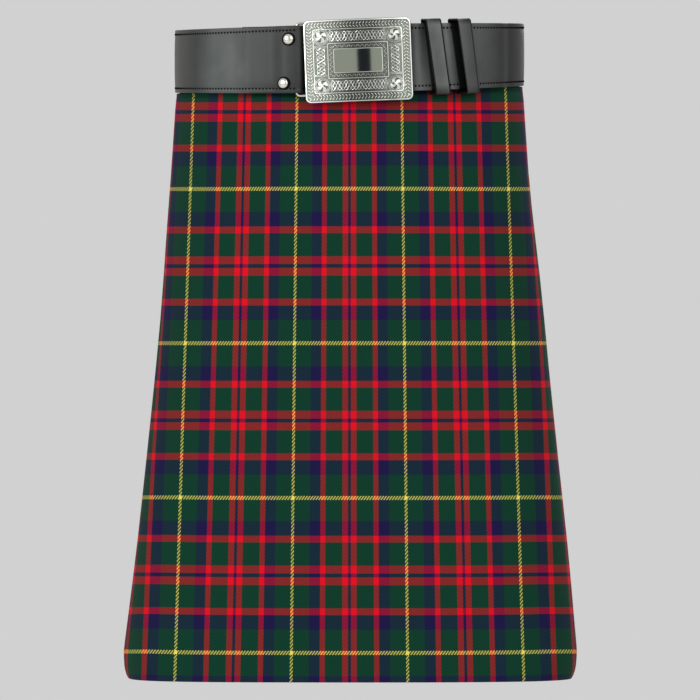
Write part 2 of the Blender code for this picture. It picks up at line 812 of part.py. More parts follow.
def wire_loop(name, fold_x, step_in, hand, finish):
    """A wire bar in the strap's fold, with its ends bent in to the back of the plate."""
    run = fold_run(fold_x)
    gap = (outer_strap_gap(run) + inner_strap_gap(run)) / 2
    bar = belt_spot(run, 0.0, gap, 0.0)
    bar.x += step_in
    inner_x = bar.x + hand * WIRE_ARM
    slant = WIRE_BEND * (1.0 - math.sqrt(0.5))
    points = []
    for sign in (-1.0, 1.0):
        arm = [
            end_at_plate(inner_x, bar.z + sign * WIRE_REACH),
            Vector((inner_x, bar.y, bar.z + sign * WIRE_REACH)),
            Vector((bar.x + hand * WIRE_BEND, bar.y, bar.z + sign * WIRE_REACH)),
            Vector((bar.x + hand * slant, bar.y, bar.z + sign * (WIRE_REACH - slant))),
            Vector((bar.x, bar.y, bar.z + sign * (WIRE_REACH - WIRE_BEND))),
        ]
        points += arm if sign < 0.0 else arm[::-1]
    data = bpy.data.curves.new(name, "CURVE")
    data.dimensions = "3D"
    data.bevel_depth = WIRE_RADIUS
    data.bevel_resolution = 2
    data.use_fill_caps = True
    spline = data.splines.new("POLY")
    spline.points.add(len(points) - 1)
    for place, point in zip(spline.points, points):
        place.co = (*point, 1.0)
    data.materials.append(finish)
    piece = bpy.data.objects.new(name, data)
    bpy.context.collection.objects.link(piece)
    return piece


def end_at_plate(x, z):
    """Where a wire's end meets the back of the plate."""
    across = x - PLATE_CENTRE[0]
    back = PLATE_CENTRE[1] + PLATE_BOW * (2.0 * across / PLATE_WIDTH) ** 2
    return Vector((x, back + WIRE_SEAT, z))


# ------------------------------------------------------------------ the hip closure

def hip_strap_lift(turn):
    """Distance from the body's curve out to the middle of the hip strap."""
    over_bar = HIP_BAR_LIFT * bump(turn, *HIP_BAR_REACH, HIP_BAR_EASE)
    over_tab = HIP_TAB_LIFT * bump(turn, HIP_TAB_END, HIP_TAB_LAST, HIP_TAB_EASE)
    return HIP_LEATHER / 2 + SEAM + max(over_bar, over_tab)


def hip_band(name, turns, lift, height, finish):
    """A flat leather band lying round the hip."""
    rows = []
    for level in (-height / 2, height / 2):
        right = []
        wrong = []
        for turn in turns:
            drop = HIP_DROP - level
            gap = lift(turn)
            right.append(cloth_spot(turn, 0.0, -gap - HIP_LEATHER / 2, drop))
            wrong.append(cloth_spot(turn, 0.0, -gap + HIP_LEATHER / 2, drop))
        rows.append((right, wrong))
    return wall_object(name, rows, finish)


def hip_strap(finish):
    """The strap sewn to the over apron, passing back over the pleats."""
    reach = HIP_START - HIP_END
    turns = [HIP_END + reach * step / HIP_STRAP_STEPS for step in range(HIP_STRAP_STEPS + 1)]
    return hip_band("hip_strap", turns, hip_strap_lift, HIP_STRAP_HEIGHT, finish)


def hip_tab(finish):
    """The tab sewn to the pleats, ending at the buckle's bar."""
    reach = HIP_TAB_LAST - HIP_TAB_END
    turns = [HIP_TAB_END + reach * step / HIP_TAB_STEPS for step in range(HIP_TAB_STEPS + 1)]
    return hip_band("hip_tab", turns, lambda turn: HIP_LEATHER / 2 + SEAM,
                    HIP_STRAP_HEIGHT, finish)


def hip_buckle(finish):
    """A square frame: one bar over the strap, the other under it at the tab."""
    half = HIP_STRAP_HEIGHT / 2 + BUCKLE_MARGIN
    over = hip_strap_lift(HIP_BAR_REACH[1] + HIP_BAR_EASE / 2) + HIP_LEATHER / 2 + SEAM + WIRE_RADIUS
    under = SEAM + WIRE_RADIUS
    corners = ((BUCKLE_FRONT, -half, over), (BUCKLE_FRONT, half, over),
               (BUCKLE_BACK, half, under), (BUCKLE_BACK, -half, under))
    middle = [cloth_spot(turn, 0.0, -gap, HIP_DROP - level) for turn, level, gap in corners]
    body = bmesh.new()
    place, outward, forward = on_body(HIP_BUCKLE, HIP_DROP)
    centre = sum(middle, Vector()) / 4
    rings = []
    for corner in middle:
        away = (corner - centre).normalized() * BUCKLE_HALF_BAR
        lift = outward * WIRE_RADIUS
        rings.append([body.verts.new(corner + away + lift), body.verts.new(corner + away - lift),
                      body.verts.new(corner - away - lift), body.verts.new(corner - away + lift)])
    for corner in range(4):
        bridge_rings(body, rings[corner], rings[(corner + 1) % 4])
    return object_from("hip_buckle", body, finish, smooth=False)


# ------------------------------------------------------------------ the whole

def clear_scene():
    """Start from an empty scene."""
    for item in list(bpy.data.objects):
        bpy.data.objects.remove(item)


def build():
    """Every piece of the kilt and its belt."""
    clear_scene()
    tartan = material("tartan", (0.012, 0.062, 0.030), 0.9)
    leather = material("black_leather", (0.014, 0.014, 0.015), 0.42)
    silver = material("antique_silver", (0.70, 0.70, 0.71), 0.25, 1.0)
    nickel = material("nickel", (0.72, 0.69, 0.65), 0.22, 1.0)
    band_drops = (0.0, WAISTBAND_HEIGHT)
    cloth_object("over_apron", over_apron_section, CLOTH_DROPS, CLOTH, tartan)
    cloth_object("pleats", pleats_section, CLOTH_DROPS, CLOTH, tartan)
    cloth_object("under_apron", under_apron_section, CLOTH_DROPS, CLOTH, tartan)
    cloth_object("waistband", waistband_section, band_drops, WAISTBAND_CLOTH, tartan)
    cloth_object("under_waistband", under_waistband_section, band_drops, WAISTBAND_CLOTH, tartan)
    belt_strap(leather)
    for row in LOOP_ROWS:
        belt_loop(row, leather if row[0].startswith("keeper") else tartan)
    buckle_plate(silver)
    for row in WIRE_ROWS:
        wire_loop(*row, nickel)
    for name, x, z in RIVETS:
        rivet(name, x, z, nickel)
    hip_strap(leather)
    hip_tab(leather)
    hip_buckle(nickel)


build()
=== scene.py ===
import json
import math

import bmesh
import bpy
from mathutils import Matrix, Vector

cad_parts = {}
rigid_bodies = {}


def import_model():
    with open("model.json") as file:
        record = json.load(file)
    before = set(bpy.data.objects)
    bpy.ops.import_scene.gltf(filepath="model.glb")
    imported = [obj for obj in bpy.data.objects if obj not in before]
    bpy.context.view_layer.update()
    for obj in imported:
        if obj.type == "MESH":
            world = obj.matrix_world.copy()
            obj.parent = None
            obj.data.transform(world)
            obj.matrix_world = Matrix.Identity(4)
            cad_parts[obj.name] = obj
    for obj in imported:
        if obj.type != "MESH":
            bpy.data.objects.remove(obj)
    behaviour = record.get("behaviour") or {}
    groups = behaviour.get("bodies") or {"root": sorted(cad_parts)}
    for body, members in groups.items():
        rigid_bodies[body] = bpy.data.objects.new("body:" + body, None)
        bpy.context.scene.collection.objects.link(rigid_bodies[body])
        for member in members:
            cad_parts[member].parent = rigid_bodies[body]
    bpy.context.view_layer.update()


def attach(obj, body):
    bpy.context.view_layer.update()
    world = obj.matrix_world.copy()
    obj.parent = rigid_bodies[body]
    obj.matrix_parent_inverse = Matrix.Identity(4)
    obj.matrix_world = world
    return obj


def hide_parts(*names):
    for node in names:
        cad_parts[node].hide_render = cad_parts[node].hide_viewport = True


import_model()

# The kilt hangs as worn: the front faces -Y, the wearer's left is +X, and the cloth's top edge
# at the centre front is at z = 0. A place round the body is a turn number: 0 is the centre
# front, 1 the wearer's left side, 2 the centre back, 3 the wearer's right side, 4 the front.

X_WAY = (1.0, 0.0, 0.0)
Y_WAY = (0.0, 1.0, 0.0)
Z_WAY = (0.0, 0.0, 1.0)

# ---- the cloth, in the sizes of the solids that it dresses
KILT_LENGTH = 0.584
CLOTH = 0.0012
SEAM = 0.0003
PLEATS = 26
CREASED_EDGE = 1.08
FREE_EDGE = 2.81
LAST_PLEAT = 2.91
PLEAT_STEP = (LAST_PLEAT - CREASED_EDGE) / PLEATS
# a hidden fold lies this many pleats back, under this many layers
HIDDEN_BACK = 2
HIDDEN_DEEP = 2 * HIDDEN_BACK + 1
UNDER_APRON_END = 4.86
UNDER_APRON_INSET = 0.0034
UNDER_APRON_EASE = 0.24
OVERLAP_INSET = 0.0019
WAISTBAND_HEIGHT = 0.030
WAISTBAND_CLOTH = 0.0013
WAISTBAND_START = FREE_EDGE + 0.003
WAISTBAND_END = 4.0 + FREE_EDGE - 0.006
UNDER_WAISTBAND_START = 3.25
BELT_LINE = 0.0572
FLARE_END = 0.061
# even steps across the front: where they start, how many to a turn, how near the ends they come
FRONT_START = 2.5
FRONT_STEPS = 48
FRONT_MARGIN = 0.006
QUARTER_STEPS = 240
WAISTBAND_STEPS = 120

# (drop from the top edge, half width, front depth, back depth, front squareness, back squareness)
BODY_ROWS = (
    (0.000, 0.1538, 0.1110, 0.1090, 2.50, 2.20),
    (BELT_LINE, 0.1538, 0.1110, 0.1090, 2.50, 2.20),
    (FLARE_END, 0.1577, 0.1144, 0.1128, 2.55, 2.20),
    (0.085, 0.1596, 0.1160, 0.1188, 2.60, 2.21),
    (0.130, 0.1627, 0.1184, 0.1290, 2.68, 2.24),
    (0.200, 0.1692, 0.1230, 0.1460, 2.80, 2.30),
    (0.300, 0.1783, 0.1270, 0.1590, 3.00, 2.30),
    (0.545, 0.2041, 0.1347, 0.1828, 3.45, 2.39),
    (0.560, 0.2056, 0.1350, 0.1840, 3.60, 2.40),
    (0.573, 0.2048, 0.1350, 0.1840, 3.75, 2.40),
    (0.580, 0.2032, 0.1350, 0.1835, 3.80, 2.40),
    (KILT_LENGTH, 0.2012, 0.1345, 0.1830, 3.80, 2.40),
)

# (drop from the top edge, how far the cloth hangs to the wearer's left of the belt)
SWAY_ROWS = (
    (0.000, 0.0000),
    (0.130, 0.0002),
    (0.260, 0.0026),
    (0.450, 0.0026),
    (0.560, 0.0008),
    (KILT_LENGTH, 0.0004),
)
# (drop from the top edge, spacing of the folded layers)
LAYER_ROWS = (
    (0.000, 0.0016),
    (0.200, 0.0017),
    (0.400, 0.0027),
    (KILT_LENGTH, 0.0034),
)
# (turn from the centre front, half width in turns, depth at the hem) of the apron's undulations
DRAPE_ROWS = (
    (-0.66, 0.10, 0.0010),
    (-0.31, 0.13, -0.0007),
    (0.08, 0.16, 0.0008),
    (0.45, 0.11, -0.0008),
    (0.74, 0.09, 0.0011),
)
DRAPE_START = 0.12
DRAPE_REACH = 0.40
UNDER_APRON_DRAPE = 0.4
FULLNESS_START = 0.0552
FULLNESS_STEP = 0.0558
# (drop from the top edge, how far the over apron stands out at the sides, close under the belt)
FULLNESS_ROWS = (
    (0.0, 0.0),
    (FULLNESS_START, 0.0),
    (FULLNESS_STEP, 0.0034),
    (BELT_LINE, 0.0036),
    (FLARE_END, 0.0),
    (KILT_LENGTH, 0.0),
)
FULLNESS_TURNS = (0.86, 0.98)
FULLNESS_EASE = 0.10
# drops at which the cloth has a row of points
CLOTH_DROPS = (
    0.0, 0.02, 0.04, BELT_LINE, 0.0585, 0.0598, FLARE_END, 0.069, 0.085, 0.105, 0.13, 0.16, 0.19,
    0.22, 0.26, 0.3, 0.34, 0.38, 0.42, 0.46, 0.50, 0.53, 0.55, 0.56, 0.567, 0.573, 0.577, 0.581,
    KILT_LENGTH,
)
OVER_APRON_DROPS = tuple(sorted(CLOTH_DROPS + (FULLNESS_START, FULLNESS_STEP)))
WAISTBAND_DROPS = (0.0, 0.004, 0.026, WAISTBAND_HEIGHT)

# ---- the waist's tilt
SIDE_RISE = 0.0199
BACK_RISE = 0.0432
RISE_FROM = 0.111
RISE_FADES = (0.069, 0.200)

# ---- the belt
BELT_MIDDLE = 0.0264
BELT_FRONT_HEIGHT = 0.0612
BELT_BACK_HEIGHT = 0.0570
BELT_TAPER_END = 0.9
BELT_STEPS = 300
RIGHT_BACK_STEPS = 16
LEFT_BACK_STEPS = 7
LEATHER = 0.0030
BELT_CLEAR = 0.0019
LEFT_FOLD_X = -0.0490
RIGHT_FOLD_X = 0.0475
LEFT_TURN_BACK = 0.040
RIGHT_TURN_BACK = 0.092
LEFT_OPENING = 0.0050
RIGHT_OPENING = 0.0036
LEFT_FOLD_DEPTH = 0.0075
# degrees from point to point round each fold of the strap
RIGHT_FOLD_STEP = 15
LEFT_FOLD_STEP = 10
FOLD_REACH = 0.010
OPENING_REACH = 0.005
FOLD_EASE = 0.016
LOOPS_ROOM = 0.002
LOOPS_EASE = 0.012
# (name, place along the belt, width, thickness, stand-off, lean, lift of its edge by the buckle)
LOOP_ROWS = (
    ("keeper_front", 0.0757, 0.0160, 0.0020, 0.0044, 0.130, 0.0125),
    ("keeper_side", 0.1012, 0.0178, 0.0020, 0.0044, 0.125, 0.0160),
    ("belt_loop_left", 0.3450, 0.0300, 0.0012, 0.0019, 0.0, 0.0),
    ("belt_loop_right", -0.3450, 0.0300, 0.0012, 0.0019, 0.0, 0.0),
)
# places across a keeper and across a cloth loop that have a row of points
KEEPER_COLUMNS = (0.0, 0.02, 0.045, 0.10, 0.2, 0.3, 0.4, 0.5, 0.6, 0.7, 0.8, 0.90, 0.955, 0.98, 1.0)
CLOTH_COLUMNS = (0.0, 0.125, 0.25, 0.375, 0.5, 0.625, 0.75, 0.875, 1.0)
LOOP_CORNER = 0.0022
KEEPER_CURL = 2.0
# how far in from its edge a keeper is rounded off, and how thin its edge is, as shares of its wall
KEEPER_ROUNDING = 0.45
KEEPER_THINNEST = 0.30
STITCH_INSET = 0.0042
STITCH_PITCH = 0.0031
STITCH_LENGTH = 0.0018
STITCH_WIDTH = 0.0019
STITCH_DEPTH = 0.0010
STITCH_UNDERSIDE = STITCH_DEPTH * 0.15
STITCH_TOP = -STITCH_DEPTH * 0.3
STITCH_TOP_PULL = (1.25, 1.0, 0.8)
STITCH_LEAN = math.radians(-9.0)
# the stitching starts this far past the right fold, and runs this far round the left one
STITCHING_START = 0.002
STITCHING_END = LEFT_FOLD_DEPTH * 0.6
HEADING_STEP = 0.001
GROOVE_HALF = 0.0008
GROOVE_DEPTH = 0.00015
STITCH_SINK = GROOVE_DEPTH * 0.45
# (place across the stitch groove as a share of half its width, depth)
GROOVE_ROWS = ((-1.0, 0.0), (-0.4, GROOVE_DEPTH), (0.4, GROOVE_DEPTH), (1.0, 0.0))
# (inset from the strap's edge, how much thinner each face is there)
BELT_EDGE = ((0.0, 0.0008), (0.0003, 0.0003), (0.0009, 0.0))
# (inset from the strap's edge, how far its middle swells outward there)
BELT_CROWN = ((0.012, 0.00025), (0.022, 0.0004))

# ---- the buckle plate
PLATE_WIDTH = 0.0964
PLATE_HEIGHT = 0.0741
PLATE_BOW = 0.0050
PLATE_CENTRE = (0.0078, -0.1276, -0.0288)
PLATE_TURN = math.radians(2.2)
BAND_FLOOR = 0.0020
FIELD_FLOOR = 0.0019
FIELD_DEPTH = 0.0112
# the middle of the field round the panel: above and below it, and to its sides
FIELD_UP = PLATE_HEIGHT / 2 - 0.0150
FIELD_SIDE = PLATE_WIDTH / 2 - 0.0150
# heights on the casting's chart are shares of this, and metal above RELIEF_TOP is rubbed bright
RELIEF_UNIT = 0.003
RELIEF_TOP = 0.0026
PLATE_LONG_STEPS = 28
PLATE_SHORT_STEPS = 16
PLATE_CORNER_STEPS = 6
# (inset from the plate's edge, height in front of the back face, corner radius)
PLATE_STEPS = (
    (0.0000, 0.0000, 0.0050),
    (0.0000, 0.0018, 0.0050),
    (0.0005, 0.0026, 0.0046),
    (0.0013, 0.0028, 0.0040),
    (0.0018, BAND_FLOOR, 0.0036),
    (0.0080, BAND_FLOOR, 0.0020),
    (0.0083, 0.0026, 0.0019),
    (0.0088, 0.0026, 0.0018),
    (0.0091, FIELD_FLOOR, 0.0017),
    (0.0208, FIELD_FLOOR, 0.0013),
    (0.0211, 0.0027, 0.0013),
    (0.0216, 0.0027, 0.0012),
    (0.0219, BAND_FLOOR, 0.0012),
    (0.0259, BAND_FLOOR, 0.0010),
    (0.0262, 0.0029, 0.0010),
    (0.0266, 0.0029, 0.0009),
    (0.0269, 0.0024, 0.0008),
)
BOSS_PLACE = (0.0330, 0.0220)
BOSS_RADIUS = 0.0058
BOSS_HEIGHT = 0.0026
# (name, inset from the edge, pitch, lean in degrees, whether the lean alternates, bead's sizes)
ROPE_ROWS = (
    ("rim_rope_outer", 0.0035, 0.0029, -38.0, False, (0.0038, 0.0020, 0.0012)),
    ("rim_rope_inner", 0.0063, 0.0029, 38.0, False, (0.0038, 0.0020, 0.0012)),
    ("panel_zigzag", 0.0239, 0.0020, 36.0, True, (0.0044, 0.0011, 0.0010)),
)
BEAD_RIDGE_FROM = 0.6
BEAD_RIDGE_WIDTH = 0.55
BEAD_UNDERSIDE = -0.0002
SWIRL_REACH = (0.20, 0.90)
SWIRL_ARMS = 4.0
SWIRL_TWIST = 3.6
SWIRL_NARROWNESS = 0.10
SWIRL_WALL = 0.00008
SWIRL_DEPTH = 0.00045
# (name, radius, wire radius) of the rings round each boss
BOSS_RINGS = (("boss_ring_inner", 0.0066, 0.00036), ("boss_ring_outer", 0.0076, 0.0003))
RING_HEIGHTENING = 1.6
# the fine lines: places across and up, width and height, lift, bevel, parts along each
LINES_ACROSS = (-0.0248, -0.0238, 0.0238, 0.0248)
LINES_UP = (-0.0132, -0.0122, 0.0122, 0.0132)
LINE_SIZES = (0.0004, 0.0007)
LINE_LIFT = 0.0003
LINE_BEVEL = 0.0001
LINE_PARTS = 6
# (name, length, height, centre, turn) of the plaited panels
INTERLACES = (
    ("interlace_top", 0.0464, 0.0092, (0.0, FIELD_UP), 0.0),
    ("interlace_bottom", 0.0464, 0.0092, (0.0, -FIELD_UP), 0.0),
    ("interlace_left", 0.0236, 0.0082, (-FIELD_SIDE, 0.0), math.pi / 2),
    ("interlace_right", 0.0236, 0.0082, (FIELD_SIDE, 0.0), math.pi / 2),
)
INTERLACE_WAVE = 0.0118
WAVE_STEPS = 14
STRANDS = 4
STRAND_RADIUS = 0.00046
STRAND_CROSSING = 0.00030
STRAND_LIFT = STRAND_RADIUS * 0.5
WIRE_RADIUS = 0.0014
WIRE_REACH = 0.0324
WIRE_SEAT = 0.0008
WIRE_ARM = 0.0150
WIRE_BEND = 0.0030
WIRE_BEND_STEPS = 6
# (name, fold, the bar's step from the fold's middle, side the arms bend to)
WIRE_ROWS = (
    ("loop_left", LEFT_FOLD_X, 0.0030, 1.0),
    ("loop_right", RIGHT_FOLD_X, 0.0029, -1.0),
)
RIVETS = (("rivet_upper", -0.0525, -0.0097), ("rivet_lower", -0.0566, -0.0491))
RIVET_RADIUS = 0.0046
RIVET_SEAT = 0.0005
RIVET_FLATNESS = 0.42
DENT_RADIUS = RIVET_RADIUS * 1.18
DENT_THICKNESS = 0.0007
DENT_FLATNESS = 0.5
DENT_SEAT = 0.0001

# ---- the hip closure at the wearer's right
HIP_DROP = 0.120
HIP_STRAP_HEIGHT = 0.020
HIP_LEATHER = 0.0020
HIP_START = 2.880
HIP_BUCKLE = 2.690
HIP_END = 2.550
HIP_TAB_END = 2.585
HIP_TAB_LAST = HIP_BUCKLE - 0.042
BUCKLE_FRONT = HIP_BUCKLE + 0.015
BUCKLE_BACK = HIP_BUCKLE - 0.032
HIP_BAR_LIFT = 0.0046
HIP_BAR_REACH = (HIP_BUCKLE - 0.045, HIP_BUCKLE - 0.012)
HIP_BAR_EASE = 0.035
HIP_TAB_LIFT = 0.0024
HIP_TAB_EASE = 0.020
HIP_POINT = 0.06
HIP_POINT_WIDTH = 0.25
HIP_STEPS = 40
# (level as a share of half the height, share of the thickness there) of the rows up a band
HIP_LEVELS = (
    (-1.0, 0.55),
    (-0.96, 0.85),
    (-0.88, 1.0),
    (-0.5, 1.0),
    (0.0, 1.0),
    (0.5, 1.0),
    (0.88, 1.0),
    (0.96, 0.85),
    (1.0, 0.55),
)
# (first turn, last turn, steps) of the stitches on the strap and on the tab
STRAP_STITCHES = (HIP_START - 0.012, HIP_START - 0.105, 8)
TAB_STITCHES = (HIP_TAB_END + 0.006, HIP_TAB_END + 0.034, 3)
HIP_STITCH_LEVEL = 0.0078
HIP_STITCH_SIZES = (0.0011, 0.0004, 0.0004)
BUCKLE_MARGIN = 0.0022
BUCKLE_CORNER = 0.0022
BUCKLE_WIRE = 0.0013
PRONG_ROOT = HIP_BUCKLE - 0.020
PRONG_WIRE = 0.0009
# how far out the prong lies at its root, halfway and over the frame, then past the frame
PRONG_ROOT_LIFT = 0.0016
PRONG_MIDDLE_LIFT = 0.0008
PRONG_OVER_LIFT = 0.0014
PRONG_TIP_LIFT = 0.0010
PRONG_TIP_REACH = 0.0012

# ---- edges that turn by more degrees than these stay sharp
WALL_SHARP = 50.0
COPY_SHARP = 50.0
PLATE_SHARP = 32.0
WIRE_SHARP = 60.0

# ---- the tartan
SETT_THREADS = 160.0
SETT_TOP = 0.0938
SETT_HEM = 0.1039
SETT_TOP_DROP = 0.060
SETT_HEM_DROP = 0.575
PLEAT_SETT = 0.1040
SETT_DROP = 0.1381
YELLOW_LINE_Z = -0.1433
# how far the check may stretch where the apron curves away to the sides
CHECK_STRETCH = 2.2
# the lift of the check's rows toward the sides: its size, where it starts in Y, its reach, its foot in Z
ROW_LIFT = 0.155
ROW_LIFT_FROM = -0.105
ROW_LIFT_REACH = 0.105
ROW_LIFT_END = -0.2875

# ---- the finishes
# yarn colours as seen on a screen, 0 to 255
YARN = {
    "green": (16, 62, 45),
    "navy": (31, 25, 72),
    "red": (231, 19, 38),
    "yellow": (242, 232, 108),
}
# half of the repeat, from the navy pivot to the yellow one: (yarn, threads)
HALF_SETT = (
    ("navy", 2.0),
    ("red", 8.0),
    ("green", 24.0),
    ("red", 7.0),
    ("navy", 15.0),
    ("green", 22.0),
    ("yellow", 2.0),
)
TWILL_THREADS = 4.0
FLOAT_CONTRAST = 0.20
LINE_CONTRAST = 1.0
LINE_THINNESS = 0.38
SCREEN_GAMMA = 2.2
NAP_SCALE = 150.0
NAP_SHADES = (0.70, 0.86)
# (place across, colour) of the painted light and shade on the leather round the front of the belt
BELT_PAINTED_TONES = (
    (-0.160, (0.33, 0.31, 0.28)),
    (-0.146, (0.33, 0.31, 0.29)),
    (-0.139, (0.25, 0.26, 0.27)),
    (-0.122, (0.60, 0.64, 0.62)),
    (-0.098, (0.66, 0.67, 0.65)),
    (-0.088, (0.30, 0.31, 0.30)),
    (-0.050, (0.20, 0.20, 0.20)),
    (0.052, (0.45, 0.45, 0.45)),
    (0.060, (0.80, 0.80, 0.79)),
    (0.086, (1.25, 1.25, 1.23)),
    (0.098, (0.70, 0.70, 0.70)),
    (0.118, (0.50, 0.50, 0.49)),
    (0.133, (0.22, 0.23, 0.22)),
    (0.142, (0.03, 0.03, 0.03)),
    (0.150, (0.02, 0.02, 0.02)),
)
# (place across, colour) of the painted light and shade on the keepers
KEEPER_PAINTED_TONES = (
    (0.070, (1.30, 1.30, 1.28)),
    (0.086, (1.22, 1.22, 1.20)),
    (0.092, (1.00, 1.00, 0.98)),
    (0.108, (0.44, 0.44, 0.44)),
    (0.130, (0.38, 0.38, 0.38)),
)
LEATHER_DARK = (0.110, 0.1166, 0.1144)
LEATHER_LIGHT = (0.150, 0.159, 0.156)
LEATHER_CLOUD = 45.0
LEATHER_GRAIN = 900.0
# painted shade in the leather's crevices: reach and strength of its ambient occlusion
CREVICE_SHADE_REACH = 0.014
CREVICE_SHADE_POWER = 1.2
# the tone of the back of the belt, and how far from the middle it fades in
BACK_TONE = (0.28, 0.28, 0.27)
BACK_FADE = 0.03
# (place up, reach) of the painted shade where the keepers turn over the belt's edges
KEEPER_ENDS = ((0.0035, 0.0045), (-0.0500, -0.0090))
KEEPER_END_LIGHT = 0.06
# (place across, place up, slope, width) of the painted shadows beside the keepers, under their lifted
# edges
KEEPER_PAINTED_SHADOWS = (
    (0.0667, 0.0058, -0.116, 0.0120),
    (0.0902, 0.0058, -0.142, 0.0165),
)
SHADE_SOFT = 0.0006
SHADE_LIGHT = 0.04
METAL_CLOUD = 300.0
# (place across the buckle, share of painted highlight there)
PAINTED_HIGHLIGHT_TONES = (
    (-0.042, 0.85),
    (-0.034, 1.0),
    (-0.016, 0.70),
    (-0.004, 0.2),
    (0.002, 0.0),
    (0.018, 0.0),
    (0.030, 0.38),
    (0.040, 0.30),
    (0.046, 0.85),
    (0.056, 0.65),
)

# ---- the camera
CAMERA_AWAY = 6.5
CAMERA_HEIGHT = -0.2875
CAMERA_SIDE = 0.0005
FRAME_WIDTH = 0.63735
SENSOR = 36.0

# ---- the studio
FLOOR_Z = -1.30
FLOOR_SIZE = 20.0
STUDIO_GREY = 0.638
CARD_WIDTH = 0.70
CARD_THICKNESS = 0.01
CARD_HEIGHT = 1.20
CARD_PLACE = (0.32, -6.65, 0.30)
LAMP_AIM = (0.0, 0.0, -0.25)
# (name, place, size, watts)
LAMPS = (
    ("key_light", (-3.0, -3.8, 0.9), 2.4, 100.0),
    ("fill_light", (2.6, -4.2, 1.6), 3.0, 70.0),
    ("back_light", (0.5, 5.0, 1.8), 3.0, 120.0),
)


# ------------------------------------------------------------------ the form

def eased(share):
    """A share from 0 to 1, eased at both ends."""
    share = min(1.0, max(0.0, share))
    return share * share * (3.0 - 2.0 * share)


def row_slopes(rows, column):
    """Slope of a column at each row, kept level where the column turns."""
    steps = []
    for low, high in zip(rows, rows[1:]):
        steps.append((high[column] - low[column]) / (high[0] - low[0]))
    slopes = [steps[0]]
    for before, after in zip(steps, steps[1:]):
        if before * after <= 0.0:
            slopes.append(0.0)
        else:
            slopes.append(2.0 * before * after / (before + after))
    slopes.append(steps[-1])
    return slopes


def read_rows(rows, drop):
    """Values of every column at a drop, on a smooth curve through the rows."""
    drop = min(max(drop, rows[0][0]), rows[-1][0])
    place = 0
    while drop > rows[place + 1][0]:
        place += 1
    low = rows[place]
    high = rows[place + 1]
    span = high[0] - low[0]
    part = (drop - low[0]) / span
    values = []
    for column in range(1, len(low)):
        slopes = row_slopes(rows, column)
        start = (2 * part ** 3 - 3 * part ** 2 + 1) * low[column]
        start += (part ** 3 - 2 * part ** 2 + part) * span * slopes[place]
        end = (3 * part ** 2 - 2 * part ** 3) * high[column]
        end += (part ** 3 - part ** 2) * span * slopes[place + 1]
        values.append(start + end)
    return values


def quarter_curve(across, deep, squareness):
    """Points (x, depth, run) from the centre line to the side of a rounded quarter."""
    points = []
    run = 0.0
    for step in range(QUARTER_STEPS + 1):
        angle = 0.5 * math.pi * step / QUARTER_STEPS
        x = across * math.sin(angle) ** (2.0 / squareness)
        depth = deep * max(0.0, math.cos(angle)) ** (2.0 / squareness)
        if points:
            run += math.hypot(x - points[-1][0], depth - points[-1][1])
        points.append((x, depth, run))
    return points


# the curves that quarters_at has worked out, by drop
QUARTERS = {}


def quarters_at(drop):
    """The front and the back quarter of the body at a drop, with their sizes."""
    key = round(drop, 6)
    if key not in QUARTERS:
        across, front, back, front_square, back_square = read_rows(BODY_ROWS, drop)
        QUARTERS[key] = (
            (across, front, front_square, quarter_curve(across, front, front_square)),
            (across, back, back_square, quarter_curve(across, back, back_square)),
        )
    return QUARTERS[key]


def row_before(rows, column, target):
    """Number of the last row whose value in a column has not passed a target."""
    low = 0
    high = len(rows) - 1
    while high - low > 1:
        middle = (low + high) // 2
        if rows[middle][column] <= target:
            low = middle
        else:
            high = middle
    return low


def along_quarter(points, share):
    """The point at a share of a quarter's run."""
    target = share * points[-1][2]
    number = row_before(points, 2, target)
    low = points[number]
    high = points[number + 1]
    part = (target - low[2]) / (high[2] - low[2])
    return low[0] + part * (high[0] - low[0]), low[1] + part * (high[1] - low[1])


def on_body(turn, drop):
    """Place, outward direction and forward direction in plan on the body's curve."""
    turn = turn % 4.0
    quarter = int(turn)
    share = turn - quarter
    at_back = quarter in (1, 2)
    across, deep, squareness, points = quarters_at(drop)[1 if at_back else 0]
    x, depth = along_quarter(points, share if quarter in (0, 2) else 1.0 - share)
    side = 1.0 if quarter in (0, 1) else -1.0
    face = 1.0 if at_back else -1.0
    out_x = side * (x / across) ** (squareness - 1.0) / across
    out_y = face * (depth / deep) ** (squareness - 1.0) / deep
    length = math.hypot(out_x, out_y)
    outward = Vector((out_x / length, out_y / length, 0.0))
    forward = Vector((-outward.y, outward.x, 0.0))
    sway = read_rows(SWAY_ROWS, drop)[0]
    return Vector((side * x + sway, face * depth, 0.0)), outward, forward


def quarter_runs(drop):
    """Length of the front and of the back quarter of the body's curve at a drop."""
    front, back = quarters_at(drop)
    return front[3][-1][2], back[3][-1][2]


def turn_at(run):
    """Turn number at a run in metres along the waist from the centre front."""
    front_run, back_run = quarter_runs(0.0)
    size = abs(run)
    if size <= front_run:
        turn = size / front_run
    else:
        turn = 1.0 + (size - front_run) / back_run
    return turn if run >= 0.0 else 4.0 - turn


def rise(place, drop):
    """How far the tilt of the waist lifts a place."""
    first, last = RISE_FADES
    fade = 1.0 - eased((drop - first) / (last - first))
    return fade * (SIDE_RISE * place.x + BACK_RISE * (place.y + RISE_FROM))


def cloth_spot(turn, along, inward, drop):
    """A point of the cloth: turn, then a step along and a step inward from the body's curve."""
    place, outward, forward = on_body(turn, drop)
    spot = place + forward * along - outward * inward
    spot.z = rise(spot, drop) - drop
    return spot


def near_front(turn):
    """A turn number counted from the centre front: below 0 on the wearer's right."""
    return (turn + 2.0) % 4.0 - 2.0


def layer_step(drop):
    """Spacing of the folded layers at a drop."""
    return read_rows(LAYER_ROWS, drop)[0]


def overlap_shift(turn):
    """How far the last pleats sit inward, to leave room for the over apron's free edge."""
    first = LAST_PLEAT - 4.0 * PLEAT_STEP
    last = FREE_EDGE - 0.2 * PLEAT_STEP
    return OVERLAP_INSET * eased((turn - first) / (last - first))


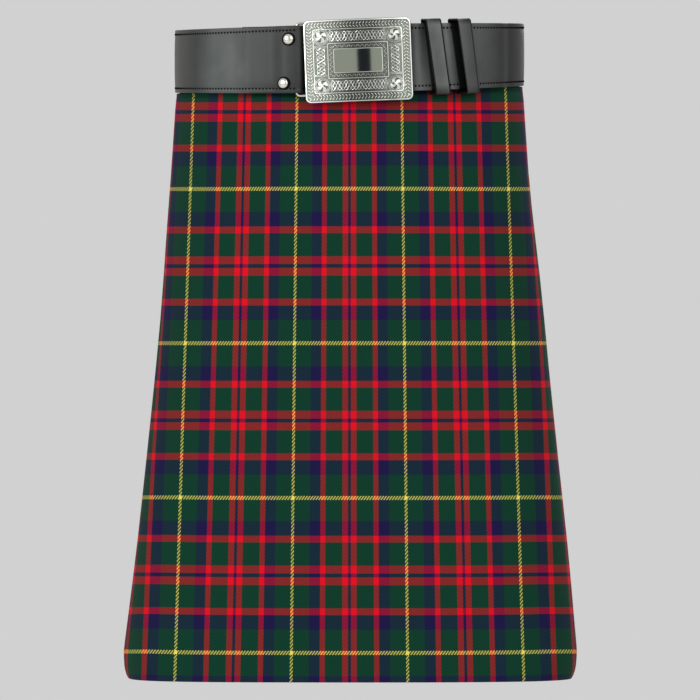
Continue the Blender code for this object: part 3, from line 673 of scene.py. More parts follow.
def ring_run(turn, drop):
    """Length along the body's curve from the centre front to a turn."""
    front_run, back_run = quarter_runs(drop)
    lengths = (front_run, back_run, back_run, front_run)
    whole = sum(lengths)
    laps = math.floor(turn / 4.0)
    rest = turn - 4.0 * laps
    run = laps * whole
    for length in lengths:
        if rest <= 1.0:
            return run + rest * length
        run += length
        rest -= 1.0
    return run


# ------------------------------------------------------------------ how the check lies

def sett_width(drop):
    """Width of one repeat of the check across the front at a drop."""
    share = (drop - SETT_TOP_DROP) / (SETT_HEM_DROP - SETT_TOP_DROP)
    return SETT_TOP + share * (SETT_HEM - SETT_TOP)


# the tables that front_check has worked out, by drop
FRONT_CHECK = {}


def front_check(drop):
    """Rows of (run, repeats) from the centre front round one side at a drop."""
    key = round(drop, 6)
    if key not in FRONT_CHECK:
        width = sett_width(drop)
        table = [(0.0, 0.0)]
        repeats = 0.0
        points = quarters_at(drop)[0][3]
        for before, after in zip(points, points[1:]):
            step = after[2] - before[2]
            repeats += max(after[0] - before[0], step / CHECK_STRETCH) / width
            table.append((after[2], repeats))
        FRONT_CHECK[key] = table
    return FRONT_CHECK[key]


def check_across(turn, drop):
    """Repeats of the check from the centre front to a place on an apron."""
    near = near_front(turn)
    run = ring_run(abs(near), drop)
    table = front_check(drop)
    if run >= table[-1][0]:
        repeats = table[-1][1] + (run - table[-1][0]) / sett_width(drop)
    else:
        number = row_before(table, 0, run)
        low = table[number]
        high = table[number + 1]
        repeats = low[1] + (run - low[0]) / (high[0] - low[0]) * (high[1] - low[1])
    sway = read_rows(SWAY_ROWS, drop)[0] / sett_width(drop)
    return sway + (repeats if near >= 0.0 else -repeats)


def check_down(spot):
    """Repeats of the check down the cloth; its rows lift a little toward the sides of the waist."""
    depth = min(max(spot.y - ROW_LIFT_FROM, 0.0), ROW_LIFT_REACH)
    lift = ROW_LIFT * depth * (spot.z - ROW_LIFT_END)
    return (spot.z - lift - YELLOW_LINE_Z) / SETT_DROP + 0.5


# ------------------------------------------------------------------ sections of the cloth
# A section point is (turn, along, inward, side along, side inward, repeats of the check).

OUT = (0.0, -1.0)
IN = (0.0, 1.0)
AHEAD = (1.0, 0.0)
OUTER = 1.0
INNER = -1.0
FOLD_ANGLES = (30.0, 60.0, 90.0, 120.0, 150.0)
RETURN_STEPS = 4
# places on a pleat's face and on its return, in pleats back from its folded edge
FACE_PLACES = (3, 2.5, 2, 1.5, 1, 0.75, 0.5, 0.25, 0)
RETURN_PLACES = (0, 0.5, 1, 1.5, 2)


def front_turns(first, last):
    """Turns across the front from first to last."""
    turns = [first]
    for step in range(5 * FRONT_STEPS):
        turn = FRONT_START + step / FRONT_STEPS
        if first + FRONT_MARGIN < turn < last - FRONT_MARGIN:
            turns.append(turn)
    turns.append(last)
    return turns


def fold_points(turn, start, spacing, repeats, reach, side, angles=FOLD_ANGLES):
    """The points round a fold. Its side is OUTER at a folded edge and INNER at a hidden fold."""
    points = []
    for angle in angles:
        bend = math.radians(angle)
        along = side * spacing / 2 * math.sin(bend)
        inward = start + spacing / 2 * (1.0 - math.cos(bend))
        check = repeats + reach * angle / 180.0
        points.append((turn, along, inward, math.sin(bend), -side * math.cos(bend), check))
    return points


def sewn_end(turn, start, spacing, repeats, reach):
    """The last hidden fold of a panel, as far as the seam at its deepest place."""
    points = fold_points(turn, start, spacing, repeats, reach, INNER, FOLD_ANGLES[:2])
    inward = start + spacing / 2 - SEAM / 2
    points.append((turn, -spacing / 2, inward, *AHEAD, points[-1][5]))
    return points


def sewn_start(turn, start, spacing, repeats):
    """The rest of that fold on the next panel, out from the seam."""
    inward = start + spacing / 2 + SEAM / 2
    points = [(turn, -spacing / 2, inward, *AHEAD, repeats)]
    points += fold_points(turn, start, spacing, repeats, 0.0, INNER, FOLD_ANGLES[3:])
    return points


def drape(turn, drop):
    """The apron's soft undulation, which grows towards the hem."""
    near = near_front(turn)
    depth = 0.0
    for place, width, size in DRAPE_ROWS:
        away = (near - place) / width
        depth += size * math.exp(-away * away)
    return depth * eased((drop - DRAPE_START) / DRAPE_REACH)


def fullness(turn, drop):
    """How far the over apron stands out at the sides, so that it meets the belt's lower edge."""
    near = abs(near_front(turn))
    return read_rows(FULLNESS_ROWS, drop)[0] * bump(near, *FULLNESS_TURNS, FULLNESS_EASE)


def apron_check(turn, drop):
    """Repeats of the check across the over apron, straight up under the belt at the sides."""
    repeats = check_across(turn, drop)
    if drop >= FLARE_END:
        return repeats
    near = abs(near_front(turn))
    share = eased((near - FULLNESS_TURNS[0]) / FULLNESS_EASE + 1.0)
    return repeats + share * (check_across(turn, FLARE_END) - repeats)


def over_apron_section(drop):
    """Free edge, across the front, creased edge, then the return to its seam."""
    layer = layer_step(drop)
    middle = CLOTH / 2
    points = []
    for turn in front_turns(FREE_EDGE, 4.0 + CREASED_EDGE):
        repeats = apron_check(turn, drop)
        inward = middle - drape(turn, drop) - fullness(turn, drop)
        points.append((turn, 0.0, inward, *OUT, repeats))
    edge = 4.0 + CREASED_EDGE
    repeats = apron_check(edge, drop)
    reach = 0.5 * math.pi * layer / sett_width(drop)
    points += fold_points(edge, middle, layer, repeats, reach, OUTER)
    for step in range(HIDDEN_BACK * RETURN_STEPS + 1):
        back = step / RETURN_STEPS
        turn = edge - back * PLEAT_STEP
        away = ring_run(edge, drop) - ring_run(turn, drop)
        inward = middle + layer * (1 + 2 * back)
        points.append((turn, 0.0, inward, *IN, repeats + reach + away / sett_width(drop)))
    turn = edge - HIDDEN_BACK * PLEAT_STEP
    start = middle + HIDDEN_DEEP * layer
    return points + sewn_end(turn, start, layer, points[-1][5], reach)


def tip_check(pleat):
    """Repeats of the check at a pleat's folded edge, so that the check runs on round the back."""
    hem_step = quarter_runs(KILT_LENGTH)[1] * PLEAT_STEP
    first = check_across(CREASED_EDGE, KILT_LENGTH)
    return first + (pleat + 1) * (hem_step / PLEAT_SETT + 1.0)


def pleats_section(drop):
    """Every knife pleat: its face out to the folded edge, then its return underneath."""
    layer = layer_step(drop)
    middle = CLOTH / 2
    step_run = quarter_runs(drop)[1] * PLEAT_STEP
    reach = 0.5 * math.pi * layer / PLEAT_SETT
    face_run = (HIDDEN_BACK + 1) * step_run
    first = tip_check(0) - face_run / PLEAT_SETT
    seam = CREASED_EDGE - HIDDEN_BACK * PLEAT_STEP
    points = sewn_start(seam, middle + HIDDEN_DEEP * layer, layer, first)
    for pleat in range(PLEATS):
        tip = CREASED_EDGE + (pleat + 1) * PLEAT_STEP
        at_tip = tip_check(pleat)
        for back in FACE_PLACES:
            turn = tip - back * PLEAT_STEP
            repeats = at_tip - back * step_run / PLEAT_SETT
            inward = middle + 2 * back * layer + overlap_shift(turn)
            points.append((turn, 0.0, inward, *OUT, repeats))
        points += fold_points(tip, middle + overlap_shift(tip), layer, at_tip, reach, OUTER)
        ahead = tip_check(pleat + 1) - face_run / PLEAT_SETT
        for back in RETURN_PLACES:
            turn = tip - back * PLEAT_STEP
            inward = middle + (2 * back + 1) * layer + overlap_shift(turn)
            repeats = at_tip + reach + (ahead - at_tip - 2 * reach) * back / HIDDEN_BACK
            points.append((turn, 0.0, inward, *IN, repeats))
        turn = tip - HIDDEN_BACK * PLEAT_STEP
        start = middle + HIDDEN_DEEP * layer + overlap_shift(turn)
        if pleat < PLEATS - 1:
            points += fold_points(turn, start, layer, points[-1][5], reach, INNER)
        else:
            points += sewn_end(turn, start, layer, points[-1][5], reach)
    return points


def under_apron_section(drop):
    """From its seam with the last pleat, round inside the over apron."""
    layer = layer_step(drop)
    middle = CLOTH / 2
    seam = LAST_PLEAT - HIDDEN_BACK * PLEAT_STEP
    start = middle + HIDDEN_DEEP * layer + overlap_shift(seam)
    points = sewn_start(seam, start, layer, check_across(seam, drop))
    for step in range(HIDDEN_BACK * RETURN_STEPS, 0, -1):
        back = step / RETURN_STEPS
        turn = LAST_PLEAT - back * PLEAT_STEP
        inward = middle + 2 * (back + 1) * layer + overlap_shift(turn)
        points.append((turn, 0.0, inward, *OUT, check_across(turn, drop)))
    deep = middle + 2 * layer + OVERLAP_INSET
    for turn in front_turns(LAST_PLEAT, UNDER_APRON_END):
        share = eased((turn - LAST_PLEAT) / UNDER_APRON_EASE)
        inward = deep + share * (middle + UNDER_APRON_INSET - deep)
        inward -= UNDER_APRON_DRAPE * drape(turn, drop)
        points.append((turn, 0.0, inward, *OUT, check_across(turn, drop)))
    return points


def waistband_section(drop):
    """Round the over apron from its free edge, then over the pleats to it again."""
    middle = -SEAM - WAISTBAND_CLOTH / 2
    points = []
    crease = 4.0 + CREASED_EDGE
    turns = front_turns(WAISTBAND_START, crease)
    reach = WAISTBAND_END - crease
    for step in range(1, WAISTBAND_STEPS + 1):
        turns.append(crease + reach * step / WAISTBAND_STEPS)
    for turn in turns:
        shift = overlap_shift(turn - 4.0) if turn > 6.0 else 0.0
        repeats = ring_run(turn, drop) / SETT_TOP
        points.append((turn, 0.0, middle + shift, *OUT, repeats))
    return points


def under_waistband_section(drop):
    """The strip on the outside of the under apron, clear of the pleats."""
    middle = UNDER_APRON_INSET - SEAM - WAISTBAND_CLOTH / 2
    points = []
    for turn in front_turns(UNDER_WAISTBAND_START, UNDER_APRON_END):
        points.append((turn, 0.0, middle, *OUT, ring_run(turn, drop) / SETT_TOP))
    return points


# ------------------------------------------------------------------ meshes

def clear_selection():
    """Deselect everything."""
    if bpy.context.mode != "OBJECT":
        bpy.ops.object.mode_set(mode="OBJECT")
    for item in bpy.context.view_layer.objects:
        item.select_set(False)
    bpy.context.view_layer.objects.active = None


def pick(piece):
    """Make one object the selected and active one."""
    clear_selection()
    piece.select_set(True)
    bpy.context.view_layer.objects.active = piece


def smooth(piece, degrees):
    """Shade smooth, keeping the edges that turn by more than an angle sharp."""
    pick(piece)
    bpy.ops.object.shade_smooth_by_angle(angle=math.radians(degrees))
    clear_selection()


def put_in(name, data):
    """A new object in the scene, from a mesh, a curve, a lamp or a camera."""
    piece = bpy.data.objects.new(name, data)
    bpy.context.collection.objects.link(piece)
    return piece


def piece_of(name, body, finish, degrees):
    """A new piece from a bmesh, which is freed."""
    mesh = bpy.data.meshes.new(name)
    body.to_mesh(mesh)
    body.free()
    mesh.materials.append(finish)
    piece = put_in(name, mesh)
    smooth(piece, degrees)
    return piece


def wall_faces(right, wrong, closed):
    """Corners of every face of a wall: both sides, both long edges, and the ends of an open one."""
    last = len(right[0]) - 1
    pairs = list(zip(range(len(right)), range(1, len(right))))
    if closed:
        pairs.append((len(right) - 1, 0))
    faces = []
    for low, high in pairs:
        for column in range(last):
            faces.append((right[low][column], right[low][column + 1],
                          right[high][column + 1], right[high][column]))
            faces.append((wrong[low][column + 1], wrong[low][column],
                          wrong[high][column], wrong[high][column + 1]))
        for column in (0, last):
            faces.append((right[low][column], right[high][column],
                          wrong[high][column], wrong[low][column]))
    if not closed:
        for row in (0, len(right) - 1):
            for column in range(last):
                faces.append((right[row][column], right[row][column + 1],
                              wrong[row][column + 1], wrong[row][column]))
    return faces


def wall_object(name, rows, finish, closed=False):
    """A wall from rows of (right side, wrong side) points, each point (spot, u, v)."""
    body = bmesh.new()
    chart = body.loops.layers.uv.new("thread")
    places = {}

    def corners_of(points):
        """New corners at a row's points, with their places on the chart kept."""
        line = []
        for spot, u, v in points:
            vert = body.verts.new(spot)
            places[vert] = (u, v)
            line.append(vert)
        return line

    lines = [(corners_of(right), corners_of(wrong)) for right, wrong in rows]
    right, wrong = zip(*lines)
    for corners in wall_faces(right, wrong, closed):
        face = body.faces.new(corners)
        for loop in face.loops:
            loop[chart].uv = places[loop.vert]
    bmesh.ops.recalc_face_normals(body, faces=body.faces)
    if body.calc_volume(signed=True) < 0.0:
        bmesh.ops.reverse_faces(body, faces=body.faces)
    return piece_of(name, body, finish, WALL_SHARP)


def cloth_row(section, drop, thickness):
    """The right side and the wrong side of a piece of cloth at one drop."""
    right = []
    wrong = []
    for turn, along, inward, side_along, side_inward, repeats in section(drop):
        half = thickness / 2
        step_along = side_along * half
        step_inward = side_inward * half
        near = cloth_spot(turn, along + step_along, inward + step_inward, drop)
        far = cloth_spot(turn, along - step_along, inward - step_inward, drop)
        down = check_down(near)
        right.append((near, repeats, down))
        wrong.append((far, repeats, down))
    return right, wrong


def dress(piece, node=None):
    """The piece rides on the kilt, and may stand for a node, which is then hidden."""
    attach(piece, "root")
    if node:
        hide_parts(node)


def cloth_piece(name, node, section, drops, thickness):
    """A sheet of the tartan on its solid's form."""
    rows = [cloth_row(section, drop, thickness) for drop in drops]
    piece = wall_object(name, rows, TARTAN)
    dress(piece, node)


# ------------------------------------------------------------------ finishes

def new_finish(name):
    """An empty node material, its node tree and its shader."""
    finish = bpy.data.materials.new(name)
    finish.use_nodes = True
    tree = finish.node_tree
    return finish, tree, tree.nodes["Principled BSDF"]


def set_inputs(tree, node, values):
    """Give a node's inputs numbers, colours or other nodes' results."""
    for name, value in values.items():
        socket = node.inputs[name]
        if isinstance(value, (int, float, tuple)):
            socket.default_value = value
        else:
            tree.links.new(value, socket)


def add_node(tree, kind, values):
    """A new node with its inputs given."""
    node = tree.nodes.new(kind)
    set_inputs(tree, node, values)
    return node


def math_node(tree, operation, *values):
    """A Math node's result. Inputs are sockets or numbers."""
    node = tree.nodes.new("ShaderNodeMath")
    node.operation = operation
    set_inputs(tree, node, dict(enumerate(values)))
    return node.outputs[0]


def mix_colour(tree, factor, first, second, blend="MIX"):
    """A mix of two colours."""
    node = tree.nodes.new("ShaderNodeMix")
    node.data_type = "RGBA"
    node.blend_type = blend
    set_inputs(tree, node, {0: factor, 6: first, 7: second})
    return node.outputs[2]


def gamma(tree, colour, power):
    """A colour with a gamma curve."""
    return add_node(tree, "ShaderNodeGamma", {0: colour, 1: power}).outputs[0]


def shaded(tree, colour, share):
    """A colour made darker by a share."""
    return add_node(tree, "ShaderNodeHueSaturation", {"Color": colour, "Value": share}).outputs[0]


def spread(tree, value, first, last, low=0.0, high=1.0):
    """From low to high while a value goes from first to last."""
    values = {"Value": value, "From Min": first, "From Max": last, "To Min": low, "To Max": high}
    return add_node(tree, "ShaderNodeMapRange", values).outputs[0]


def ramp(tree, value, stops):
    """A colour that changes with a value. Stops are rows of (position, colour)."""
    node = add_node(tree, "ShaderNodeValToRGB", {0: value})
    elements = node.color_ramp.elements
    while len(elements) < len(stops):
        elements.new(0.5)
    for element, (position, colour) in zip(elements, stops):
        element.position = position
        element.color = (*colour, 1.0)
    return node.outputs[0]


def tones_across(tree, x, tones):
    """A colour that changes across the body. Tones are rows of (place across, colour)."""
    first = tones[0][0]
    last = tones[-1][0]
    stops = [((across - first) / (last - first), colour) for across, colour in tones]
    return ramp(tree, spread(tree, x, first, last), stops)


def noise(tree, place, scale, detail, dimensions="3D"):
    """Uneven clouds from 0 to 1."""
    node = add_node(tree, "ShaderNodeTexNoise", {"Vector": place, "Scale": scale, "Detail": detail})
    node.noise_dimensions = dimensions
    return node.outputs["Fac"]


def object_place(tree):
    """The place on the piece."""
    return tree.nodes.new("ShaderNodeTexCoord").outputs["Object"]


def parts_of(tree, place):
    """The three parts of a place."""
    return add_node(tree, "ShaderNodeSeparateXYZ", {0: place}).outputs


def chart_parts(tree, name):
    """The parts of a place on the piece's own chart."""
    chart = tree.nodes.new("ShaderNodeUVMap")
    chart.uv_map = name
    return parts_of(tree, chart.outputs[0])


def relief(tree, height, strength, distance):
    """Fine relief from a height, for a shader's normal."""
    values = {"Height": height, "Strength": strength, "Distance": distance}
    return add_node(tree, "ShaderNodeBump", values).outputs[0]


def linear(part):
    """A screen colour part, 0 to 255, as linear light."""
    share = part / 255.0
    return share / 12.92 if share <= 0.04045 else ((share + 0.055) / 1.055) ** 2.4


def sett_colour(tree, thread):
    """The yarn at a thread number. Alpha holds how strongly its floats stand out."""
    half = SETT_THREADS / 2
    place = math_node(tree, "PINGPONG", thread, half)
    place = math_node(tree, "DIVIDE", place, half)
    node = add_node(tree, "ShaderNodeValToRGB", {0: place})
    node.color_ramp.interpolation = "CONSTANT"
    stops = node.color_ramp.elements
    start = 0.0
    for number, (name, threads) in enumerate(HALF_SETT):
        if number < 2:
            stop = stops[number]
            stop.position = start / half
        else:
            stop = stops.new(start / half)
        contrast = LINE_CONTRAST if name == "yellow" else FLOAT_CONTRAST
        stop.color = (*(linear(part) for part in YARN[name]), contrast)
        start += threads
    return node.outputs[0], node.outputs[1]


def woven_colour(tree, warp_thread, weft_thread, weft_up):
    """The cloth's colour: the mean of its two yarns, leaning to the one that lies on top."""
    warp_colour, warp_mark = sett_colour(tree, math_node(tree, "ADD", warp_thread, 0.5))
    weft_colour, weft_mark = sett_colour(tree, math_node(tree, "ADD", weft_thread, 0.5))
    # the fine yellow yarn lets the one it crosses show through
    warp_line = math_node(tree, "GREATER_THAN", warp_mark, 0.5)
    weft_line = math_node(tree, "GREATER_THAN", weft_mark, 0.5)
    line_up = math_node(tree, "MULTIPLY", weft_line, weft_up)
    warp_up = math_node(tree, "SUBTRACT", 1.0, weft_up)
    line_up = math_node(tree, "ADD", line_up, math_node(tree, "MULTIPLY", warp_line, warp_up))
    top = mix_colour(tree, weft_up, warp_colour, weft_colour)
    under = mix_colour(tree, weft_up, weft_colour, warp_colour)
    top = mix_colour(tree, math_node(tree, "MULTIPLY", line_up, LINE_THINNESS), top, under)
    warp_light = gamma(tree, warp_colour, 1 / SCREEN_GAMMA)
    weft_light = gamma(tree, weft_colour, 1 / SCREEN_GAMMA)
    even = gamma(tree, mix_colour(tree, 0.5, warp_light, weft_light), SCREEN_GAMMA)
    return mix_colour(tree, math_node(tree, "MAXIMUM", warp_mark, weft_mark), even, top)


def yarn_height(tree, threads):
    """Height across a yarn, round from edge to edge."""
    across = math_node(tree, "MULTIPLY", math_node(tree, "FRACT", threads), math.pi)
    return math_node(tree, "SINE", across)


def tartan_finish():
    """Wool tartan: the repeat both ways in a 2/2 twill, with the yarns' relief and nap."""
    finish, tree, shader = new_finish("wool_tartan")
    across, down = chart_parts(tree, "thread")[:2]
    warp = math_node(tree, "MULTIPLY", across, SETT_THREADS)
    weft = math_node(tree, "MULTIPLY", down, SETT_THREADS)
    warp_thread = math_node(tree, "FLOOR", warp)
    weft_thread = math_node(tree, "FLOOR", weft)
    order = math_node(tree, "SUBTRACT", warp_thread, weft_thread)
    order = math_node(tree, "FLOORED_MODULO", order, TWILL_THREADS)
    weft_up = math_node(tree, "GREATER_THAN", order, TWILL_THREADS / 2 - 0.5)
    colour = woven_colour(tree, warp_thread, weft_thread, weft_up)
    # the yarns differ a little along their length
    spot = add_node(tree, "ShaderNodeCombineXYZ", {
        0: math_node(tree, "MULTIPLY", across, NAP_SCALE),
        1: math_node(tree, "MULTIPLY", down, NAP_SCALE),
    }).outputs[0]
    uneven = spread(tree, noise(tree, spot, 1.0, 2.0, "2D"), 0.3, 0.7, *NAP_SHADES)
    # relief of the yarns: round across whichever lies on top
    height = add_node(tree, "ShaderNodeMix", {
        0: weft_up,
        2: yarn_height(tree, warp),
        3: yarn_height(tree, weft),
    }).outputs[0]
    set_inputs(tree, shader, {
        "Base Color": shaded(tree, colour, uneven),
        "Roughness": 0.92,
        "Specular IOR Level": 0.05,
        "Sheen Weight": 0.02,
        "Sheen Roughness": 0.5,
        "Normal": relief(tree, height, 0.35, 0.00018),
    })
    return finish


def blacken_keeper(tree, light, edge):
    """Blacken a keeper's long edges, which are dyed black, and paint shade on its ends that turn over
    the belt.
    """
    up = parts_of(tree, object_place(tree))[2]
    across = chart_parts(tree, "thread")[0]
    from_edge = math_node(tree, "MINIMUM", across, math_node(tree, "SUBTRACT", 1.0, across))
    light = math_node(tree, "MULTIPLY", light, math_node(tree, "GREATER_THAN", from_edge, edge))
    for start, reach in KEEPER_ENDS:
        dulled = spread(tree, up, start, start + reach, 1.0, KEEPER_END_LIGHT)
        light = math_node(tree, "MULTIPLY", light, dulled)
    return light


def paint_band_shadow(tree, light, behind, shade):
    """Paint a shadow on a band of the strap beside a keeper, on the front of the belt alone."""
    across, up, slope, width = shade
    x, _, z = parts_of(tree, object_place(tree))
    lean = math_node(tree, "MULTIPLY", math_node(tree, "SUBTRACT", z, up), slope)
    from_line = math_node(tree, "SUBTRACT", math_node(tree, "SUBTRACT", x, across), lean)
    away = math_node(tree, "ABSOLUTE", math_node(tree, "SUBTRACT", from_line, width / 2))
    band = spread(tree, away, width / 2 - SHADE_SOFT, width / 2 + SHADE_SOFT, SHADE_LIGHT, 1.0)
    return math_node(tree, "MULTIPLY", light, math_node(tree, "MAXIMUM", band, behind))


def leather_finish(name, tones, edge=0.0, shades=()):
    """Smooth black leather with a fine grain, painted shade in its crevices, and painted light and shade
    round the body.

    tones: (place across, colour) of the painted light and shade round the front.
    edge: share of a keeper's width that is blackened at its edges.
    shades: (place across, place up, slope, width) of the painted shadows beside the keepers.
    """
    finish, tree, shader = new_finish(name)
    place = object_place(tree)
    x, y = parts_of(tree, place)[:2]
    cloud = noise(tree, place, LEATHER_CLOUD, 4.0)
    hide = ramp(tree, cloud, [(0.3, LEATHER_DARK), (0.7, LEATHER_LIGHT)])
    behind = spread(tree, y, -BACK_FADE, BACK_FADE)
    # painted light and shade across the front, a plain tone behind
    painted_tone = mix_colour(tree, behind, tones_across(tree, x, tones), (*BACK_TONE, 1.0))
    # painted shade where other parts come near, from ambient occlusion
    crevice_shade = add_node(tree, "ShaderNodeAmbientOcclusion", {"Distance": CREVICE_SHADE_REACH})
    crevice_shade.samples = 8
    light = math_node(tree, "POWER", crevice_shade.outputs["AO"], CREVICE_SHADE_POWER)
    if edge:
        light = blacken_keeper(tree, light, edge)
    # painted shadows beside the keepers
    for shade in shades:
        light = paint_band_shadow(tree, light, behind, shade)
    grain = add_node(tree, "ShaderNodeTexVoronoi", {"Vector": place, "Scale": LEATHER_GRAIN})
    set_inputs(tree, shader, {
        "Base Color": shaded(tree, mix_colour(tree, 1.0, hide, painted_tone, "MULTIPLY"), light),
        "Roughness": spread(tree, cloud, 0.0, 1.0, 0.42, 0.54),
        "Specular IOR Level": 0.35,
        "Normal": relief(tree, grain.outputs["Distance"], 0.18, 0.0002),
    })
    return finish


def painted_highlight_share(tree):
    """Share of painted highlight on the silver: most toward the buckle's ends."""
    x = parts_of(tree, object_place(tree))[0]
    return tones_across(tree, x, [(across, (share,) * 3) for across, share in PAINTED_HIGHLIGHT_TONES])


def metal_finish(name, colour, roughness, shade_share=1.0):
    """Cast or drawn metal with faint uneven polish, and painted highlights across the buckle.

    shade_share: how dark its colour is where the painted highlight is least.
    """
    finish, tree, shader = new_finish(name)
    cloud = noise(tree, object_place(tree), METAL_CLOUD, 3.0)
    dark = (*(shade_share * part for part in colour), 1.0)
    set_inputs(tree, shader, {
        "Base Color": mix_colour(tree, painted_highlight_share(tree), dark, (*colour, 1.0)),
        "Roughness": spread(tree, cloud, 0.0, 1.0, roughness * 0.75, roughness * 1.3),
        "Metallic": 1.0,
    })
    return finish


def casting_finish():
    """Cast silver, dark in its sunk parts and polished on the panel, with painted highlights across the
    buckle.
    """
    finish, tree, shader = new_finish("antique_silver_casting")
    height, panel = chart_parts(tree, "relief")[:2]
    raised = spread(tree, height, BAND_FLOOR / RELIEF_UNIT, RELIEF_TOP / RELIEF_UNIT)
    bright = mix_colour(tree, raised, (0.24, 0.26, 0.22, 1.0), (1.0, 1.0, 0.97, 1.0))
    dark = mix_colour(tree, raised, (0.07, 0.08, 0.065, 1.0), (0.60, 0.63, 0.57, 1.0))
    # painted highlights across the buckle
    colour = mix_colour(tree, painted_highlight_share(tree), dark, bright)
    set_inputs(tree, shader, {
        "Base Color": mix_colour(tree, panel, colour, (0.37, 0.41, 0.33, 1.0)),
        "Roughness": spread(tree, panel, 0.0, 1.0, 0.34, 0.07),
        "Metallic": 1.0,
    })
    return finish


def plain_finish(name, colour, roughness):
    """A plain matt finish."""
    finish, tree, shader = new_finish(name)
    set_inputs(tree, shader, {
        "Base Color": (*colour, 1.0),
        "Roughness": roughness,
        "Specular IOR Level": 0.0,
    })
    return finish


TARTAN = tartan_finish()
LEATHER_FINISH = leather_finish("belt_leather", BELT_PAINTED_TONES, shades=KEEPER_PAINTED_SHADOWS)
KEEPER_LEATHER = leather_finish("keeper_leather", KEEPER_PAINTED_TONES, edge=0.08)
THREAD = plain_finish("waxed_black_thread", (0.006, 0.006, 0.006), 0.7)
# plain black for the dent rings round the rivet heads, as painted shade
RIVET_SHADE_BLACK = plain_finish("painted_shade_black", (0.006, 0.006, 0.006), 0.6)
CASTING = casting_finish()
SILVER = metal_finish("antique_silver", (0.92, 0.94, 0.89), 0.26, 0.42)
BRIGHT_SILVER = metal_finish("bright_silver", (0.98, 1.0, 0.96), 0.22, 0.50)
NICKEL = metal_finish("polished_nickel", (0.78, 0.76, 0.68), 0.18)


# ------------------------------------------------------------------ the cloth pieces

def make_cloth():
    """Aprons, pleats and waistbands."""
    cloth_piece("over_apron_cloth", "over_apron", over_apron_section, OVER_APRON_DROPS, CLOTH)
    cloth_piece("pleats_cloth", "pleats", pleats_section, CLOTH_DROPS, CLOTH)
    cloth_piece("under_apron_cloth", "under_apron", under_apron_section, CLOTH_DROPS, CLOTH)
    cloth_piece("waistband_cloth", "waistband", waistband_section, WAISTBAND_DROPS,
                WAISTBAND_CLOTH)
    cloth_piece("under_waistband_cloth", "under_waistband", under_waistband_section,
                WAISTBAND_DROPS, WAISTBAND_CLOTH)


# ------------------------------------------------------------------ the belt

def belt_height(turn):
    """Height of the strap, which narrows a little from the front to the sides."""
    from_front = min(turn % 4.0, 4.0 - turn % 4.0)
    share = eased(from_front / BELT_TAPER_END)
    return BELT_FRONT_HEIGHT + share * (BELT_BACK_HEIGHT - BELT_FRONT_HEIGHT)


def fold_run(x):
    """Run along the waist at which the body's front reaches x."""
    points = quarters_at(0.0)[0][3]
    size = abs(x)
    for before, after in zip(points, points[1:]):
        if after[0] >= size:
            share = (size - before[0]) / (after[0] - before[0])
            run = before[2] + share * (after[2] - before[2])
            return run if x >= 0.0 else -run
    return points[-1][2]


def bump(run, start, end, ease):
    """1 between start and end, easing to 0 beyond them."""
    return eased((run - start + ease) / ease) * eased((end + ease - run) / ease)


def loops_lift(run):
    """How far the keepers' and loops' inner sides lift the strap."""
    lift = 0.0
    for _, place, width, thick, _, lean, _ in LOOP_ROWS:
        reach = width / 2 + lean * BELT_FRONT_HEIGHT / 2 + LOOPS_ROOM
        share = bump(run, place - reach, place + reach, LOOPS_EASE)
        lift = max(lift, (thick + SEAM) * share)
    return lift


def inner_strap_gap(run):
    """Distance from the cloth's curve out to the middle of a turned-back layer."""
    return BELT_CLEAR + LEATHER / 2 + loops_lift(run)


def outer_strap_gap(run):
    """Distance from the cloth's curve out to the middle of the strap's outer layer."""
    left = fold_run(LEFT_FOLD_X)
    right = fold_run(RIGHT_FOLD_X)
    layer = LEATHER + SEAM
    gap = inner_strap_gap(run)
    gap += layer * bump(run, left - LEFT_TURN_BACK, left + FOLD_REACH, FOLD_EASE)
    opening = LEFT_OPENING - SEAM
    gap += opening * bump(run, left - OPENING_REACH, left + FOLD_REACH, FOLD_EASE)
    gap += layer * bump(run, right - FOLD_REACH, right + RIGHT_TURN_BACK, FOLD_EASE)
    opening = RIGHT_OPENING - SEAM
    gap += opening * bump(run, right - FOLD_REACH, right + OPENING_REACH, FOLD_EASE)
    return gap


def fold_middle(run):
    """Middle of the strap's two layers at a fold, and half of the way between them."""
    outer = outer_strap_gap(run)
    inner = inner_strap_gap(run)
    return (outer + inner) / 2, (outer - inner) / 2


def waist_length():
    """Length of the whole waist along the body's curve."""
    return 2.0 * sum(quarter_runs(0.0))


def near_run(run):
    """A run counted from the centre front: below 0 on the wearer's right."""
    whole = waist_length()
    return run if run <= whole / 2 else run - whole


